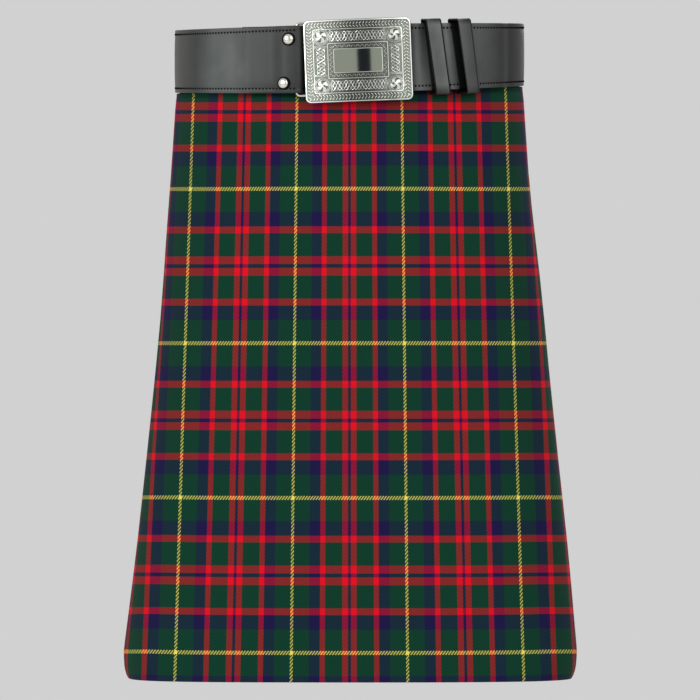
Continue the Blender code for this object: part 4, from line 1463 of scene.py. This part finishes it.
def strap_path():
    """The strap's middle line: (run, along, gap, side along, side outward)."""
    left = fold_run(LEFT_FOLD_X)
    right = fold_run(RIGHT_FOLD_X)
    points = []
    for step in range(RIGHT_BACK_STEPS + 1):
        run = right + RIGHT_TURN_BACK * (1.0 - step / RIGHT_BACK_STEPS)
        points.append((run, 0.0, inner_strap_gap(run), 0.0, -1.0))
    middle, radius = fold_middle(right)
    for angle in range(RIGHT_FOLD_STEP, 180, RIGHT_FOLD_STEP):
        turn = math.radians(angle)
        side = (-math.sin(turn), -math.cos(turn))
        points.append((right, radius * side[0], middle + radius * side[1], *side))
    reach = waist_length() + left - right
    for step in range(BELT_STEPS + 1):
        run = near_run(right + reach * step / BELT_STEPS)
        points.append((run, 0.0, outer_strap_gap(run), 0.0, 1.0))
    middle, radius = fold_middle(left)
    for angle in range(LEFT_FOLD_STEP, 180, LEFT_FOLD_STEP):
        turn = math.radians(angle)
        along = LEFT_FOLD_DEPTH * math.sin(turn)
        side = (radius * math.sin(turn), LEFT_FOLD_DEPTH * math.cos(turn))
        size = math.hypot(*side)
        gap = middle + radius * math.cos(turn)
        points.append((left, along, gap, side[0] / size, side[1] / size))
    for step in range(LEFT_BACK_STEPS + 1):
        run = left - LEFT_TURN_BACK * step / LEFT_BACK_STEPS
        points.append((run, 0.0, inner_strap_gap(run), 0.0, -1.0))
    return points


def belt_spot(run, along, gap, height):
    """A point of the belt: run round the waist, step along, gap outward, height from its middle."""
    place, outward, forward = on_body(turn_at(run), 0.0)
    spot = place + forward * along + outward * gap
    spot.z = height - BELT_MIDDLE + rise(spot, 0.0)
    return spot


def belt_levels():
    """Rows up the strap: (sign, inset from its edge, outer half, inner half of its thickness)."""
    half = LEATHER / 2
    lower = [(-1.0, inset, half - thin, half - thin) for inset, thin in BELT_EDGE]
    for share, depth in GROOVE_ROWS:
        lower.append((-1.0, STITCH_INSET + share * GROOVE_HALF, half - depth, half))
    lower += [(-1.0, inset, half + swell, half - swell) for inset, swell in BELT_CROWN]
    return lower + [(1.0, *row[1:]) for row in reversed(lower)]


def belt_strap():
    """The strap, with rounded edges and stitch grooves, folded back at both ends."""
    path = strap_path()
    rows = []
    for sign, inset, outer_half, inner_half in belt_levels():
        right = []
        wrong = []
        for run, along, gap, side_along, side_out in path:
            height = sign * (belt_height(turn_at(run)) / 2 - inset)
            outer = belt_spot(run, along + outer_half * side_along,
                              gap + outer_half * side_out, height)
            inner = belt_spot(run, along - inner_half * side_along,
                              gap - inner_half * side_out, height)
            right.append((outer, run, height))
            wrong.append((inner, run, height))
        rows.append((right, wrong))
    piece = wall_object("belt_strap_leather", rows, LEATHER_FINISH)
    dress(piece, "belt_strap")


def copies(name, source, places, finish):
    """One mesh of copies of a source piece, one at each matrix. The source is removed."""
    body = bmesh.new()
    for place in places:
        first = len(body.verts)
        body.from_mesh(source.data)
        body.verts.ensure_lookup_table()
        bmesh.ops.transform(body, matrix=place, verts=body.verts[first:])
    bpy.data.objects.remove(source)
    return piece_of(name, body, finish, COPY_SHARP)


def frame_matrix(centre, first, second, third):
    """A matrix that puts a piece's X, Y and Z along three directions at a centre."""
    turn = Matrix((first, second, third)).transposed().to_4x4()
    return Matrix.Translation(centre) @ turn


def ball(segments, rings, sizes):
    """A ball with its half sizes in X, Y and Z."""
    clear_selection()
    bpy.ops.mesh.primitive_uv_sphere_add(segments=segments, ring_count=rings, radius=1.0)
    piece = bpy.context.object
    piece.scale = sizes
    bpy.ops.object.transform_apply(location=False, rotation=False, scale=True)
    return piece


def torus(reach, thick, parts):
    """A ring with its radius, the radius of its wire and its parts round."""
    clear_selection()
    bpy.ops.mesh.primitive_torus_add(major_radius=reach, minor_radius=thick,
                                     major_segments=parts, minor_segments=8)
    return bpy.context.object


def cut(facing, place, **cleared):
    """Cut a piece in edit mode with a plane that faces one way, and clear a side if asked."""
    bpy.ops.mesh.select_all(action="SELECT")
    spot = tuple(place * part for part in facing)
    bpy.ops.mesh.bisect(plane_co=spot, plane_no=facing, **cleared)


def belt_stitch():
    """One saddle stitch: a flat drop, cut off level underneath and pulled long on top."""
    stitch = ball(8, 6, (STITCH_LENGTH / 2, STITCH_DEPTH / 2, STITCH_WIDTH / 2))
    bpy.ops.object.mode_set(mode="EDIT")
    cut(Y_WAY, STITCH_UNDERSIDE, clear_outer=True)
    select_faces(stitch.data, lambda face: face.calc_center_median().y < STITCH_TOP)
    bpy.ops.transform.resize(value=STITCH_TOP_PULL)
    bpy.ops.object.mode_set(mode="OBJECT")
    return stitch


def belt_stitching():
    """Saddle stitches in the grooves along both edges of the strap."""
    left = fold_run(LEFT_FOLD_X)
    first = fold_run(RIGHT_FOLD_X) + STITCHING_START
    last = waist_length() + left + STITCHING_END
    middle, radius = fold_middle(left)
    lean = Matrix.Rotation(STITCH_LEAN, 4, "Y")
    places = []
    for sign in (-1.0, 1.0):
        for number in range(int((last - first) / STITCH_PITCH)):
            run = near_run(first + STITCH_PITCH * (number + 0.5))
            height = sign * (belt_height(turn_at(run)) / 2 - STITCH_INSET)
            gap = outer_strap_gap(run)
            if left < run < 0.0:
                share = (run - left) / LEFT_FOLD_DEPTH
                gap = middle + radius * math.sqrt(1.0 - share * share)
            gap += LEATHER / 2 - STITCH_SINK
            spot = belt_spot(run, 0.0, gap, height)
            along = (belt_spot(run + HEADING_STEP, 0.0, gap, height) - spot).normalized()
            outward = along.cross(Vector(Z_WAY)).normalized()
            up = outward.cross(along).normalized()
            places.append(frame_matrix(spot, along, -outward, up) @ lean)
    dress(copies("belt_stitching", belt_stitch(), places, THREAD))


def loop_outline(half_height, corner, parts=7):
    """Middle line of a loop: (on the outer side, step outward, height, side outward, side up)."""
    points = []
    corners = (
        (True, half_height - corner, 90.0),
        (True, corner - half_height, 0.0),
        (False, corner - half_height, -90.0),
        (False, half_height - corner, -180.0),
    )
    for outer, height, start in corners:
        inset = -corner if outer else corner
        for part in range(parts):
            angle = math.radians(start - 90.0 * part / (parts - 1))
            side = (math.cos(angle), math.sin(angle))
            points.append((outer, inset + corner * side[0], height + corner * side[1], *side))
        if outer and start == 90.0:
            for share in (0.75, 0.5, 0.25, 0.0, -0.25, -0.5, -0.75):
                points.append((True, 0.0, share * (half_height - corner), 1.0, 0.0))
    return points


def belt_loop(row, finish, columns, half_of):
    """A closed strip round the strap, leaning as worn. half_of gives half its thickness."""
    name, place, width, thick, stand, lean, edge_lift = row
    outer_clear = LEATHER / 2 + SEAM + thick / 2
    half_height = belt_height(turn_at(place)) / 2 + stand - thick / 2
    rows = []
    for outer, step_out, height, side_out, side_up in loop_outline(half_height, LOOP_CORNER):
        outside = []
        inside = []
        for column in columns:
            run = place + (column - 0.5) * width - lean * height
            gap = BELT_CLEAR + thick / 2
            if outer:
                gap = outer_strap_gap(run) + outer_clear
                gap += edge_lift * (1.0 - column) ** KEEPER_CURL
            gap += step_out
            half = half_of(column, width, thick)
            near = belt_spot(run, 0.0, gap + half * side_out, height + half * side_up)
            far = belt_spot(run, 0.0, gap - half * side_out, height - half * side_up)
            across = column if edge_lift else run / SETT_TOP
            outside.append((near, across, check_down(near)))
            inside.append((far, across, check_down(near)))
        rows.append((outside, inside))
    return wall_object(name + "_strip", rows, finish, closed=True)


def rounded_half(column, width, thick):
    """Half the thickness of a leather strip, rounded off at its long edges."""
    edge = min(column, 1.0 - column) * width
    away = max(0.0, 1.0 - edge / (KEEPER_ROUNDING * thick))
    return thick / 2 * max(KEEPER_THINNEST, math.sqrt(1.0 - away * away))


def even_half(column, width, thick):
    """Half the thickness of cloth, the same from edge to edge."""
    return thick / 2


def belt_loops():
    """The two leather keepers and the two cloth loops."""
    for row in LOOP_ROWS:
        name = row[0]
        if name.startswith("keeper"):
            piece = belt_loop(row, KEEPER_LEATHER, KEEPER_COLUMNS, rounded_half)
            dress(piece, name)
        else:
            piece = belt_loop(row, TARTAN, CLOTH_COLUMNS, even_half)
            dress(piece, name)


# ------------------------------------------------------------------ the buckle

def plate_spot(across, up, forward):
    """A point of the buckle plate, bowed round the body and turned with the belt."""
    bowed = forward - PLATE_BOW * (2.0 * across / PLATE_WIDTH) ** 2
    x = across * math.cos(PLATE_TURN) - up * math.sin(PLATE_TURN)
    z = across * math.sin(PLATE_TURN) + up * math.cos(PLATE_TURN)
    return Vector((PLATE_CENTRE[0] + x, PLATE_CENTRE[1] - bowed, PLATE_CENTRE[2] + z))


def select_faces(mesh, wanted):
    """Select only the faces that a test accepts. Called in edit mode."""
    body = bmesh.from_edit_mesh(mesh)
    for part in (*body.faces, *body.edges, *body.verts):
        part.select_set(False)
    for face in body.faces:
        if wanted(face):
            face.select_set(True)
    body.select_flush_mode()
    bmesh.update_edit_mesh(mesh)


def seat_on_plate(piece):
    """Move a piece modelled flat onto the plate's bowed face."""
    for vert in piece.data.vertices:
        vert.co = plate_spot(vert.co.x, vert.co.y, vert.co.z)
    piece.data.update()


def plate_ring(width, height, corner):
    """Points of a rounded rectangle, anticlockwise from the lower left of its bottom edge."""
    half_w = width / 2 - corner
    half_h = height / 2 - corner
    points = []
    sides = (
        (-half_w, -half_h, half_w, -half_h, PLATE_LONG_STEPS, -90.0),
        (half_w, -half_h, half_w, half_h, PLATE_SHORT_STEPS, 0.0),
        (half_w, half_h, -half_w, half_h, PLATE_LONG_STEPS, 90.0),
        (-half_w, half_h, -half_w, -half_h, PLATE_SHORT_STEPS, 180.0),
    )
    for x0, y0, x1, y1, steps, facing in sides:
        out_x = corner * math.cos(math.radians(facing))
        out_y = corner * math.sin(math.radians(facing))
        for step in range(steps + 1):
            share = step / steps
            points.append((x0 + share * (x1 - x0) + out_x, y0 + share * (y1 - y0) + out_y))
        for step in range(1, PLATE_CORNER_STEPS):
            angle = math.radians(facing + 90.0 * step / PLATE_CORNER_STEPS)
            points.append((x1 + corner * math.cos(angle), y1 + corner * math.sin(angle)))
    return points


def cap_ring(body, ring):
    """Close a plate ring with strips across it, so that the face keeps its bow."""
    side = PLATE_CORNER_STEPS - 1
    start_right = PLATE_LONG_STEPS + 1
    start_top = start_right + side + PLATE_SHORT_STEPS + 1 + side
    bottom = ring[:start_right]
    right = ring[start_right:start_top]
    top = ring[start_top:start_top + PLATE_LONG_STEPS + 1][::-1]
    left = ring[start_top + PLATE_LONG_STEPS + 1:]
    faces = []
    for place in range(PLATE_LONG_STEPS):
        faces.append(body.faces.new((bottom[place], bottom[place + 1], top[place + 1], top[place])))
    faces.append(body.faces.new((bottom[-1], *right, top[-1])))
    faces.append(body.faces.new((top[0], *left, bottom[0])))
    return faces


def buckle_plate():
    """The cast plate: rim, rope band, field, inner band and panel, bowed round the body."""
    body = bmesh.new()
    chart = body.loops.layers.uv.new("relief")
    rings = []
    heights = {}
    for inset, forward, corner in PLATE_STEPS:
        ring = []
        for x, y in plate_ring(PLATE_WIDTH - 2 * inset, PLATE_HEIGHT - 2 * inset, corner):
            vert = body.verts.new(plate_spot(x, y, forward))
            heights[vert] = forward
            ring.append(vert)
        rings.append(ring)
    count = len(rings[0])
    for low, high in zip(rings, rings[1:]):
        for place in range(count):
            after = (place + 1) % count
            body.faces.new((low[place], low[after], high[after], high[place]))
    cap_ring(body, rings[0])
    panel = set(cap_ring(body, rings[-1]))
    for face in body.faces:
        for loop in face.loops:
            loop[chart].uv = (heights[loop.vert] / RELIEF_UNIT, 1.0 if face in panel else 0.0)
    bmesh.ops.recalc_face_normals(body, faces=body.faces)
    plate = piece_of("buckle_plate_casting", body, CASTING, PLATE_SHARP)
    dress(plate, "buckle_plate")


def border_places(inset, pitch):
    """Even places round the plate at an inset: (across, up, direction of travel)."""
    half_w = PLATE_WIDTH / 2 - inset
    half_h = PLATE_HEIGHT / 2 - inset
    corners = ((-half_w, -half_h), (half_w, -half_h), (half_w, half_h), (-half_w, half_h))
    places = []
    for number in range(4):
        x0, y0 = corners[number]
        x1, y1 = corners[(number + 1) % 4]
        length = math.hypot(x1 - x0, y1 - y0)
        count = round(length / pitch)
        heading = math.atan2(y1 - y0, x1 - x0)
        for step in range(count):
            share = (step + 0.5) / count
            places.append((x0 + share * (x1 - x0), y0 + share * (y1 - y0), heading))
    return places


def relief_bead(length, width, height):
    """A cast bead: a long drop with a ridge along its top, lying along Y."""
    bead = ball(8, 6, (width / 2, length / 2, height))
    bpy.ops.object.mode_set(mode="EDIT")
    select_faces(bead.data, lambda face: face.calc_center_median().z > BEAD_RIDGE_FROM * height)
    bpy.ops.transform.resize(value=(BEAD_RIDGE_WIDTH, 1.0, 1.0))
    cut(Z_WAY, BEAD_UNDERSIDE, clear_inner=True)
    bpy.ops.object.mode_set(mode="OBJECT")
    return bead


def plate_ornament(name, source, flat_places, finish):
    """Copies of a source piece on the plate, placed flat first: (across, up, forward, turn)."""
    places = []
    for across, up, forward, turn in flat_places:
        spot = Matrix.Translation((across, up, forward))
        places.append(spot @ Matrix.Rotation(turn, 4, "Z"))
    piece = copies(name, source, places, finish)
    seat_on_plate(piece)
    dress(piece)


def rope_borders():
    """The two rows of the rim's rope, leaning against each other, and the panel's zigzag."""
    for name, inset, pitch, lean, alternates, sizes in ROPE_ROWS:
        strands = []
        for number, (across, up, heading) in enumerate(border_places(inset, pitch)):
            side = -1.0 if alternates and number % 2 else 1.0
            strands.append((across, up, BAND_FLOOR, heading + side * math.radians(lean)))
        plate_ornament(name, relief_bead(*sizes), strands, BRIGHT_SILVER)


def strand_object(name, points, radius, roundness, cyclic=False):
    """A round strand along points, as a curve."""
    data = bpy.data.curves.new(name, "CURVE")
    data.dimensions = "3D"
    data.bevel_depth = radius
    data.bevel_resolution = roundness
    data.use_fill_caps = True
    spline = data.splines.new("POLY")
    spline.points.add(len(points) - 1)
    spline.use_cyclic_u = cyclic
    for place, point in zip(spline.points, points):
        place.co = (*point, 1.0)
    return put_in(name, data)


def interlace(name, length, height, centre, turn):
    """A plait of four strands filling a panel of the plate."""
    waves = max(2, round(length / INTERLACE_WAVE))
    steps = WAVE_STEPS * waves
    swing = height / 2 - STRAND_RADIUS
    strands = []
    for strand in range(STRANDS):
        points = []
        for step in range(steps + 1):
            angle = 2.0 * math.pi * waves * step / steps + 0.5 * math.pi * strand
            over = STRAND_CROSSING * math.sin(2.0 * angle + math.pi * strand)
            points.append((length * (step / steps - 0.5), swing * math.sin(angle), over))
        strands.append(strand_object(name, points, STRAND_RADIUS, 1))
    clear_selection()
    for strand in strands:
        strand.select_set(True)
    bpy.context.view_layer.objects.active = strands[0]
    bpy.ops.object.convert(target="MESH")
    bpy.ops.object.join()
    piece = bpy.context.object
    piece.name = name
    place = Matrix.Translation((*centre, FIELD_FLOOR + STRAND_LIFT))
    piece.data.transform(place @ Matrix.Rotation(turn, 4, "Z"))
    seat_on_plate(piece)
    piece.data.materials.clear()
    piece.data.materials.append(SILVER)
    smooth(piece, WIRE_SHARP)
    dress(piece)


def panel_lines():
    """The fine raised lines that close the interlace panels at their ends."""
    uprights = [(x, y, math.pi / 2) for x in LINES_ACROSS for y in (-FIELD_UP, FIELD_UP)]
    levels = [(x, y, 0.0) for x in (-FIELD_SIDE, FIELD_SIDE) for y in LINES_UP]
    for name, lines in (("corner_line_upright", uprights), ("corner_line_level", levels)):
        clear_selection()
        bpy.ops.mesh.primitive_cube_add(size=1.0)
        bar = bpy.context.object
        bar.scale = (FIELD_DEPTH, *LINE_SIZES)
        bpy.ops.object.transform_apply(location=False, rotation=False, scale=True)
        bpy.ops.object.mode_set(mode="EDIT")
        select_faces(bar.data, lambda face: face.normal.z > 0.9)
        bpy.ops.mesh.bevel(offset=LINE_BEVEL, segments=2, affect="EDGES")
        for step in range(1, LINE_PARTS):
            cut(X_WAY, FIELD_DEPTH * (step / LINE_PARTS - 0.5))
        bpy.ops.object.mode_set(mode="OBJECT")
        places = [(x, y, FIELD_FLOOR + LINE_LIFT, turn) for x, y, turn in lines]
        plate_ornament(name, bar, places, SILVER)


def mark_relief(piece, is_sunk):
    """Mark each face of a cast piece as raised or sunk, for the casting's finish."""
    chart = piece.data.uv_layers.new(name="relief")
    for face in piece.data.polygons:
        raised = 0.0 if is_sunk(face.center) else 1.0
        for corner in face.loop_indices:
            chart.data[corner].uv = (raised, 0.0)


def on_swirl(spot):
    """Whether a spot of a dome lies in one of its curved cuts."""
    reach = math.hypot(spot.x, spot.y) / BOSS_RADIUS
    angle = math.atan2(spot.y, spot.x)
    inside = SWIRL_REACH[0] < reach < SWIRL_REACH[1]
    return inside and math.sin(SWIRL_ARMS * angle + SWIRL_TWIST * reach) > SWIRL_NARROWNESS


def corner_bosses():
    """Four domes cut with a swirl, each in a double ring."""
    corners = [(x * BOSS_PLACE[0], y * BOSS_PLACE[1]) for x in (-1.0, 1.0) for y in (-1.0, 1.0)]
    dome = ball(64, 32, (BOSS_RADIUS, BOSS_RADIUS, BOSS_HEIGHT))
    bpy.ops.object.mode_set(mode="EDIT")
    cut(Z_WAY, 0.0, clear_inner=True)
    select_faces(dome.data, lambda face: on_swirl(face.calc_center_median()))
    bpy.ops.mesh.inset(thickness=SWIRL_WALL, depth=-SWIRL_DEPTH)
    bpy.ops.object.mode_set(mode="OBJECT")
    mark_relief(dome, on_swirl)
    plate_ornament("corner_boss", dome, [(x, y, FIELD_FLOOR, 0.0) for x, y in corners], CASTING)
    for name, reach, thick in BOSS_RINGS:
        ring = torus(reach, thick, 40)
        bpy.ops.object.mode_set(mode="EDIT")
        select_faces(ring.data, lambda face: face.calc_center_median().z > 0.0)
        bpy.ops.transform.resize(value=(1.0, 1.0, RING_HEIGHTENING))
        bpy.ops.object.mode_set(mode="OBJECT")
        places = [(x, y, FIELD_FLOOR + thick * 0.5, 0.0) for x, y in corners]
        plate_ornament(name, ring, places, SILVER)


def buckle():
    """The plate and the relief on it."""
    buckle_plate()
    rope_borders()
    corner_bosses()
    panel_lines()
    for row in INTERLACES:
        interlace(*row)


def strap_face(run):
    """A point of the strap's outer face at half height."""
    return belt_spot(run, 0.0, outer_strap_gap(run) + LEATHER / 2, 0.0)


def rivets():
    """Domed rivet heads on the strap's left fold, each over a ring where it dents the leather, coloured
    black as painted shade.
    """
    for name, x, z in RIVETS:
        run = fold_run(x)
        along = (strap_face(run + RIVET_RADIUS) - strap_face(run - RIVET_RADIUS)).normalized()
        outward = Vector((along.y, -along.x, 0.0)).normalized()
        up = outward.cross(along)
        centre = strap_face(run) + outward * RIVET_SEAT
        centre.z = z
        head = ball(32, 16, (RIVET_RADIUS, RIVET_RADIUS, RIVET_RADIUS))
        bpy.ops.object.mode_set(mode="EDIT")
        cut(Z_WAY, 0.0, clear_inner=True, use_fill=True)
        bpy.ops.mesh.select_all(action="SELECT")
        bpy.ops.transform.resize(value=(1.0, 1.0, RIVET_FLATNESS))
        bpy.ops.object.mode_set(mode="OBJECT")
        piece = copies(name + "_head", head, [frame_matrix(centre, along, up, outward)], NICKEL)
        dress(piece, name)
        dent = torus(DENT_RADIUS, DENT_THICKNESS, 36)
        bpy.ops.object.mode_set(mode="EDIT")
        bpy.ops.mesh.select_all(action="SELECT")
        bpy.ops.transform.resize(value=(1.0, 1.0, DENT_FLATNESS))
        bpy.ops.object.mode_set(mode="OBJECT")
        seat = centre - outward * (RIVET_SEAT - DENT_SEAT)
        # the dent ring is black as painted shade round the head
        ring = copies(name + "_dent", dent, [frame_matrix(seat, along, up, outward)], RIVET_SHADE_BLACK)
        dress(ring)


def wire(name, points, radius, cyclic=False):
    """A nickel wire along points, as a mesh."""
    pick(strand_object(name, points, radius, 3, cyclic))
    bpy.ops.object.convert(target="MESH")
    piece = bpy.context.object
    piece.data.materials.clear()
    piece.data.materials.append(NICKEL)
    smooth(piece, WIRE_SHARP)
    return piece


def end_at_plate(x, z):
    """Where a wire's end meets the back of the plate."""
    across = x - PLATE_CENTRE[0]
    back = PLATE_CENTRE[1] + PLATE_BOW * (2.0 * across / PLATE_WIDTH) ** 2
    return Vector((x, back + WIRE_SEAT, z))


def wire_loops():
    """Wire bars in the strap's folds, their ends bent in to the back of the plate."""
    for name, fold_x, step_in, hand in WIRE_ROWS:
        run = fold_run(fold_x)
        bar = belt_spot(run, 0.0, fold_middle(run)[0], 0.0)
        bar.x += step_in
        inner_x = bar.x + hand * WIRE_ARM
        points = []
        for sign in (-1.0, 1.0):
            reach = bar.z + sign * WIRE_REACH
            bend = []
            for step in range(WIRE_BEND_STEPS + 1):
                angle = math.radians(90.0 * step / WIRE_BEND_STEPS)
                x = bar.x + hand * WIRE_BEND * (1.0 - math.sin(angle))
                bend.append(Vector((x, bar.y, reach - sign * WIRE_BEND * (1.0 - math.cos(angle)))))
            arm = [end_at_plate(inner_x, reach), Vector((inner_x, bar.y, reach)), *bend]
            points += arm if sign < 0.0 else arm[::-1]
        dress(wire(name + "_wire", points, WIRE_RADIUS), name)


# ------------------------------------------------------------------ the hip closure

def hip_strap_lift(turn):
    """Distance from the body's curve out to the middle of the hip strap."""
    over_bar = HIP_BAR_LIFT * bump(turn, *HIP_BAR_REACH, HIP_BAR_EASE)
    over_tab = HIP_TAB_LIFT * bump(turn, HIP_TAB_END, HIP_TAB_LAST, HIP_TAB_EASE)
    return HIP_LEATHER / 2 + SEAM + max(over_bar, over_tab)


def tab_lift(turn):
    """Distance from the body's curve out to the middle of the hip tab."""
    return HIP_LEATHER / 2 + SEAM


def hip_band(name, node, first, last, lift, point_length):
    """A leather band round the hip with rounded edges, and a point at its first end."""
    rows = []
    for share, thinned in HIP_LEVELS:
        half = HIP_LEATHER / 2 * thinned
        right = []
        wrong = []
        for step in range(HIP_STEPS + 1):
            turn = first + (last - first) * step / HIP_STEPS
            width = 1.0
            if point_length:
                grown = math.sqrt(min(1.0, (turn - first) / point_length))
                width = min(1.0, HIP_POINT_WIDTH + (1.0 - HIP_POINT_WIDTH) * grown)
            level = share * HIP_STRAP_HEIGHT / 2 * width
            gap = lift(turn)
            drop = HIP_DROP - level
            right.append((cloth_spot(turn, 0.0, -gap - half, drop), turn, level))
            wrong.append((cloth_spot(turn, 0.0, -gap + half, drop), turn, level))
        rows.append((right, wrong))
    dress(wall_object(name, rows, LEATHER_FINISH), node)


def hip_stitches():
    """Rows of stitches that hold the strap and the tab to the cloth."""
    lines = ((*STRAP_STITCHES, hip_strap_lift), (*TAB_STITCHES, tab_lift))
    places = []
    for first, last, count, lift in lines:
        for level in (-HIP_STITCH_LEVEL, HIP_STITCH_LEVEL):
            for step in range(count + 1):
                turn = first + (last - first) * step / count
                gap = lift(turn) + HIP_LEATHER / 2
                spot = cloth_spot(turn, 0.0, -gap, HIP_DROP - level)
                outward, forward = on_body(turn, HIP_DROP)[1:]
                up = outward.cross(forward).normalized()
                places.append(frame_matrix(spot, forward, -outward, up))
    stitch = ball(6, 4, HIP_STITCH_SIZES)
    dress(copies("hip_stitching", stitch, places, THREAD))


def hip_closure():
    """Strap, tab, buckle frame and prong at the wearer's right hip."""
    hip_band("hip_strap_leather", "hip_strap", HIP_END, HIP_START, hip_strap_lift, HIP_POINT)
    hip_band("hip_tab_leather", "hip_tab", HIP_TAB_END, HIP_TAB_LAST, tab_lift, 0.0)
    half = HIP_STRAP_HEIGHT / 2 + BUCKLE_MARGIN
    on_bar = hip_strap_lift(HIP_BAR_REACH[1] + HIP_BAR_EASE / 2)
    over = on_bar + HIP_LEATHER / 2 + SEAM + WIRE_RADIUS
    under = SEAM + WIRE_RADIUS
    corners = ((BUCKLE_FRONT, -half, over), (BUCKLE_FRONT, half, over),
               (BUCKLE_BACK, half, under), (BUCKLE_BACK, -half, under))
    middle = [cloth_spot(turn, 0.0, -gap, HIP_DROP - level) for turn, level, gap in corners]
    points = []
    for place, corner in enumerate(middle):
        before = (middle[place - 1] - corner).normalized() * BUCKLE_CORNER
        after = (middle[(place + 1) % 4] - corner).normalized() * BUCKLE_CORNER
        for share in (0.0, 0.33, 0.67, 1.0):
            points.append(corner + before * (1.0 - share) ** 2 + after * share ** 2)
    dress(wire("hip_buckle_frame", points, BUCKLE_WIRE, cyclic=True), "hip_buckle")
    tip = (middle[0] + middle[1]) / 2
    root = cloth_spot(PRONG_ROOT, 0.0, -hip_strap_lift(PRONG_ROOT) - PRONG_ROOT_LIFT, HIP_DROP)
    outward, forward = on_body(HIP_BUCKLE, HIP_DROP)[1:]
    prong = [
        root,
        root.lerp(tip, 0.5) + outward * PRONG_MIDDLE_LIFT,
        tip + outward * PRONG_OVER_LIFT,
        tip + forward * PRONG_TIP_REACH + outward * PRONG_TIP_LIFT,
    ]
    dress(wire("hip_prong", prong, PRONG_WIRE))
    hip_stitches()


# ------------------------------------------------------------------ the studio

def studio_floor():
    """The pale paper that the kilt stands over."""
    clear_selection()
    bpy.ops.mesh.primitive_plane_add(size=1.0, location=(0.0, 0.0, 0.0))
    paper = bpy.context.object
    paper.name = "studio_floor"
    for vert in paper.data.vertices:
        vert.co = Vector((vert.co.x * FLOOR_SIZE, vert.co.y * FLOOR_SIZE, FLOOR_Z))
    paper.data.materials.append(plain_finish("studio_floor", (0.70, 0.70, 0.70), 1.0))


def dark_card():
    """A dark card beside the camera, to give the polished panel something to mirror."""
    clear_selection()
    bpy.ops.mesh.primitive_plane_add(size=1.0)
    card = bpy.context.object
    card.name = "dark_card"
    bpy.ops.object.mode_set(mode="EDIT")
    bpy.ops.transform.resize(value=(CARD_WIDTH, CARD_HEIGHT, 1.0))
    bpy.ops.mesh.extrude_region_move(TRANSFORM_OT_translate={"value": (0.0, 0.0, CARD_THICKNESS)})
    bpy.ops.mesh.select_all(action="SELECT")
    bpy.ops.mesh.normals_make_consistent(inside=False)
    bpy.ops.object.mode_set(mode="OBJECT")
    upright = Matrix.Rotation(math.radians(90.0), 4, "X")
    card.data.transform(Matrix.Translation(CARD_PLACE) @ upright)
    card.data.materials.append(plain_finish("dark_card", (0.03, 0.035, 0.06), 1.0))
    card.visible_camera = False
    card.visible_shadow = False
    card.visible_diffuse = False


def studio_light():
    """Even grey light all round, and three wide lamps."""
    world = bpy.data.worlds.new("studio_light")
    bpy.context.scene.world = world
    world.use_nodes = True
    back = world.node_tree.nodes["Background"]
    back.inputs["Color"].default_value = (1.0, 1.0, 1.0, 1.0)
    back.inputs["Strength"].default_value = STUDIO_GREY
    for name, place, size, power in LAMPS:
        lamp = bpy.data.lights.new(name, "AREA")
        lamp.shape = "SQUARE"
        lamp.size = size
        lamp.energy = power
        holder = put_in(name, lamp)
        holder.location = place
        aim = Vector(LAMP_AIM) - Vector(place)
        holder.rotation_mode = "QUATERNION"
        holder.rotation_quaternion = aim.to_track_quat("-Z", "Y")


def studio_camera():
    """The camera, level with the middle of the kilt."""
    lens = bpy.data.cameras.new("camera")
    lens.sensor_width = SENSOR
    lens.lens = SENSOR * CAMERA_AWAY / FRAME_WIDTH
    lens.clip_end = 50.0
    camera = put_in("camera", lens)
    camera.location = (CAMERA_SIDE, -CAMERA_AWAY, CAMERA_HEIGHT)
    camera.rotation_euler = (math.radians(90.0), 0.0, 0.0)
    bpy.context.scene.camera = camera
    bpy.context.scene.view_settings.view_transform = "Standard"


studio_floor()
studio_light()
dark_card()
studio_camera()
make_cloth()
belt_strap()
belt_stitching()
belt_loops()
buckle()
rivets()
wire_loops()
hip_closure()
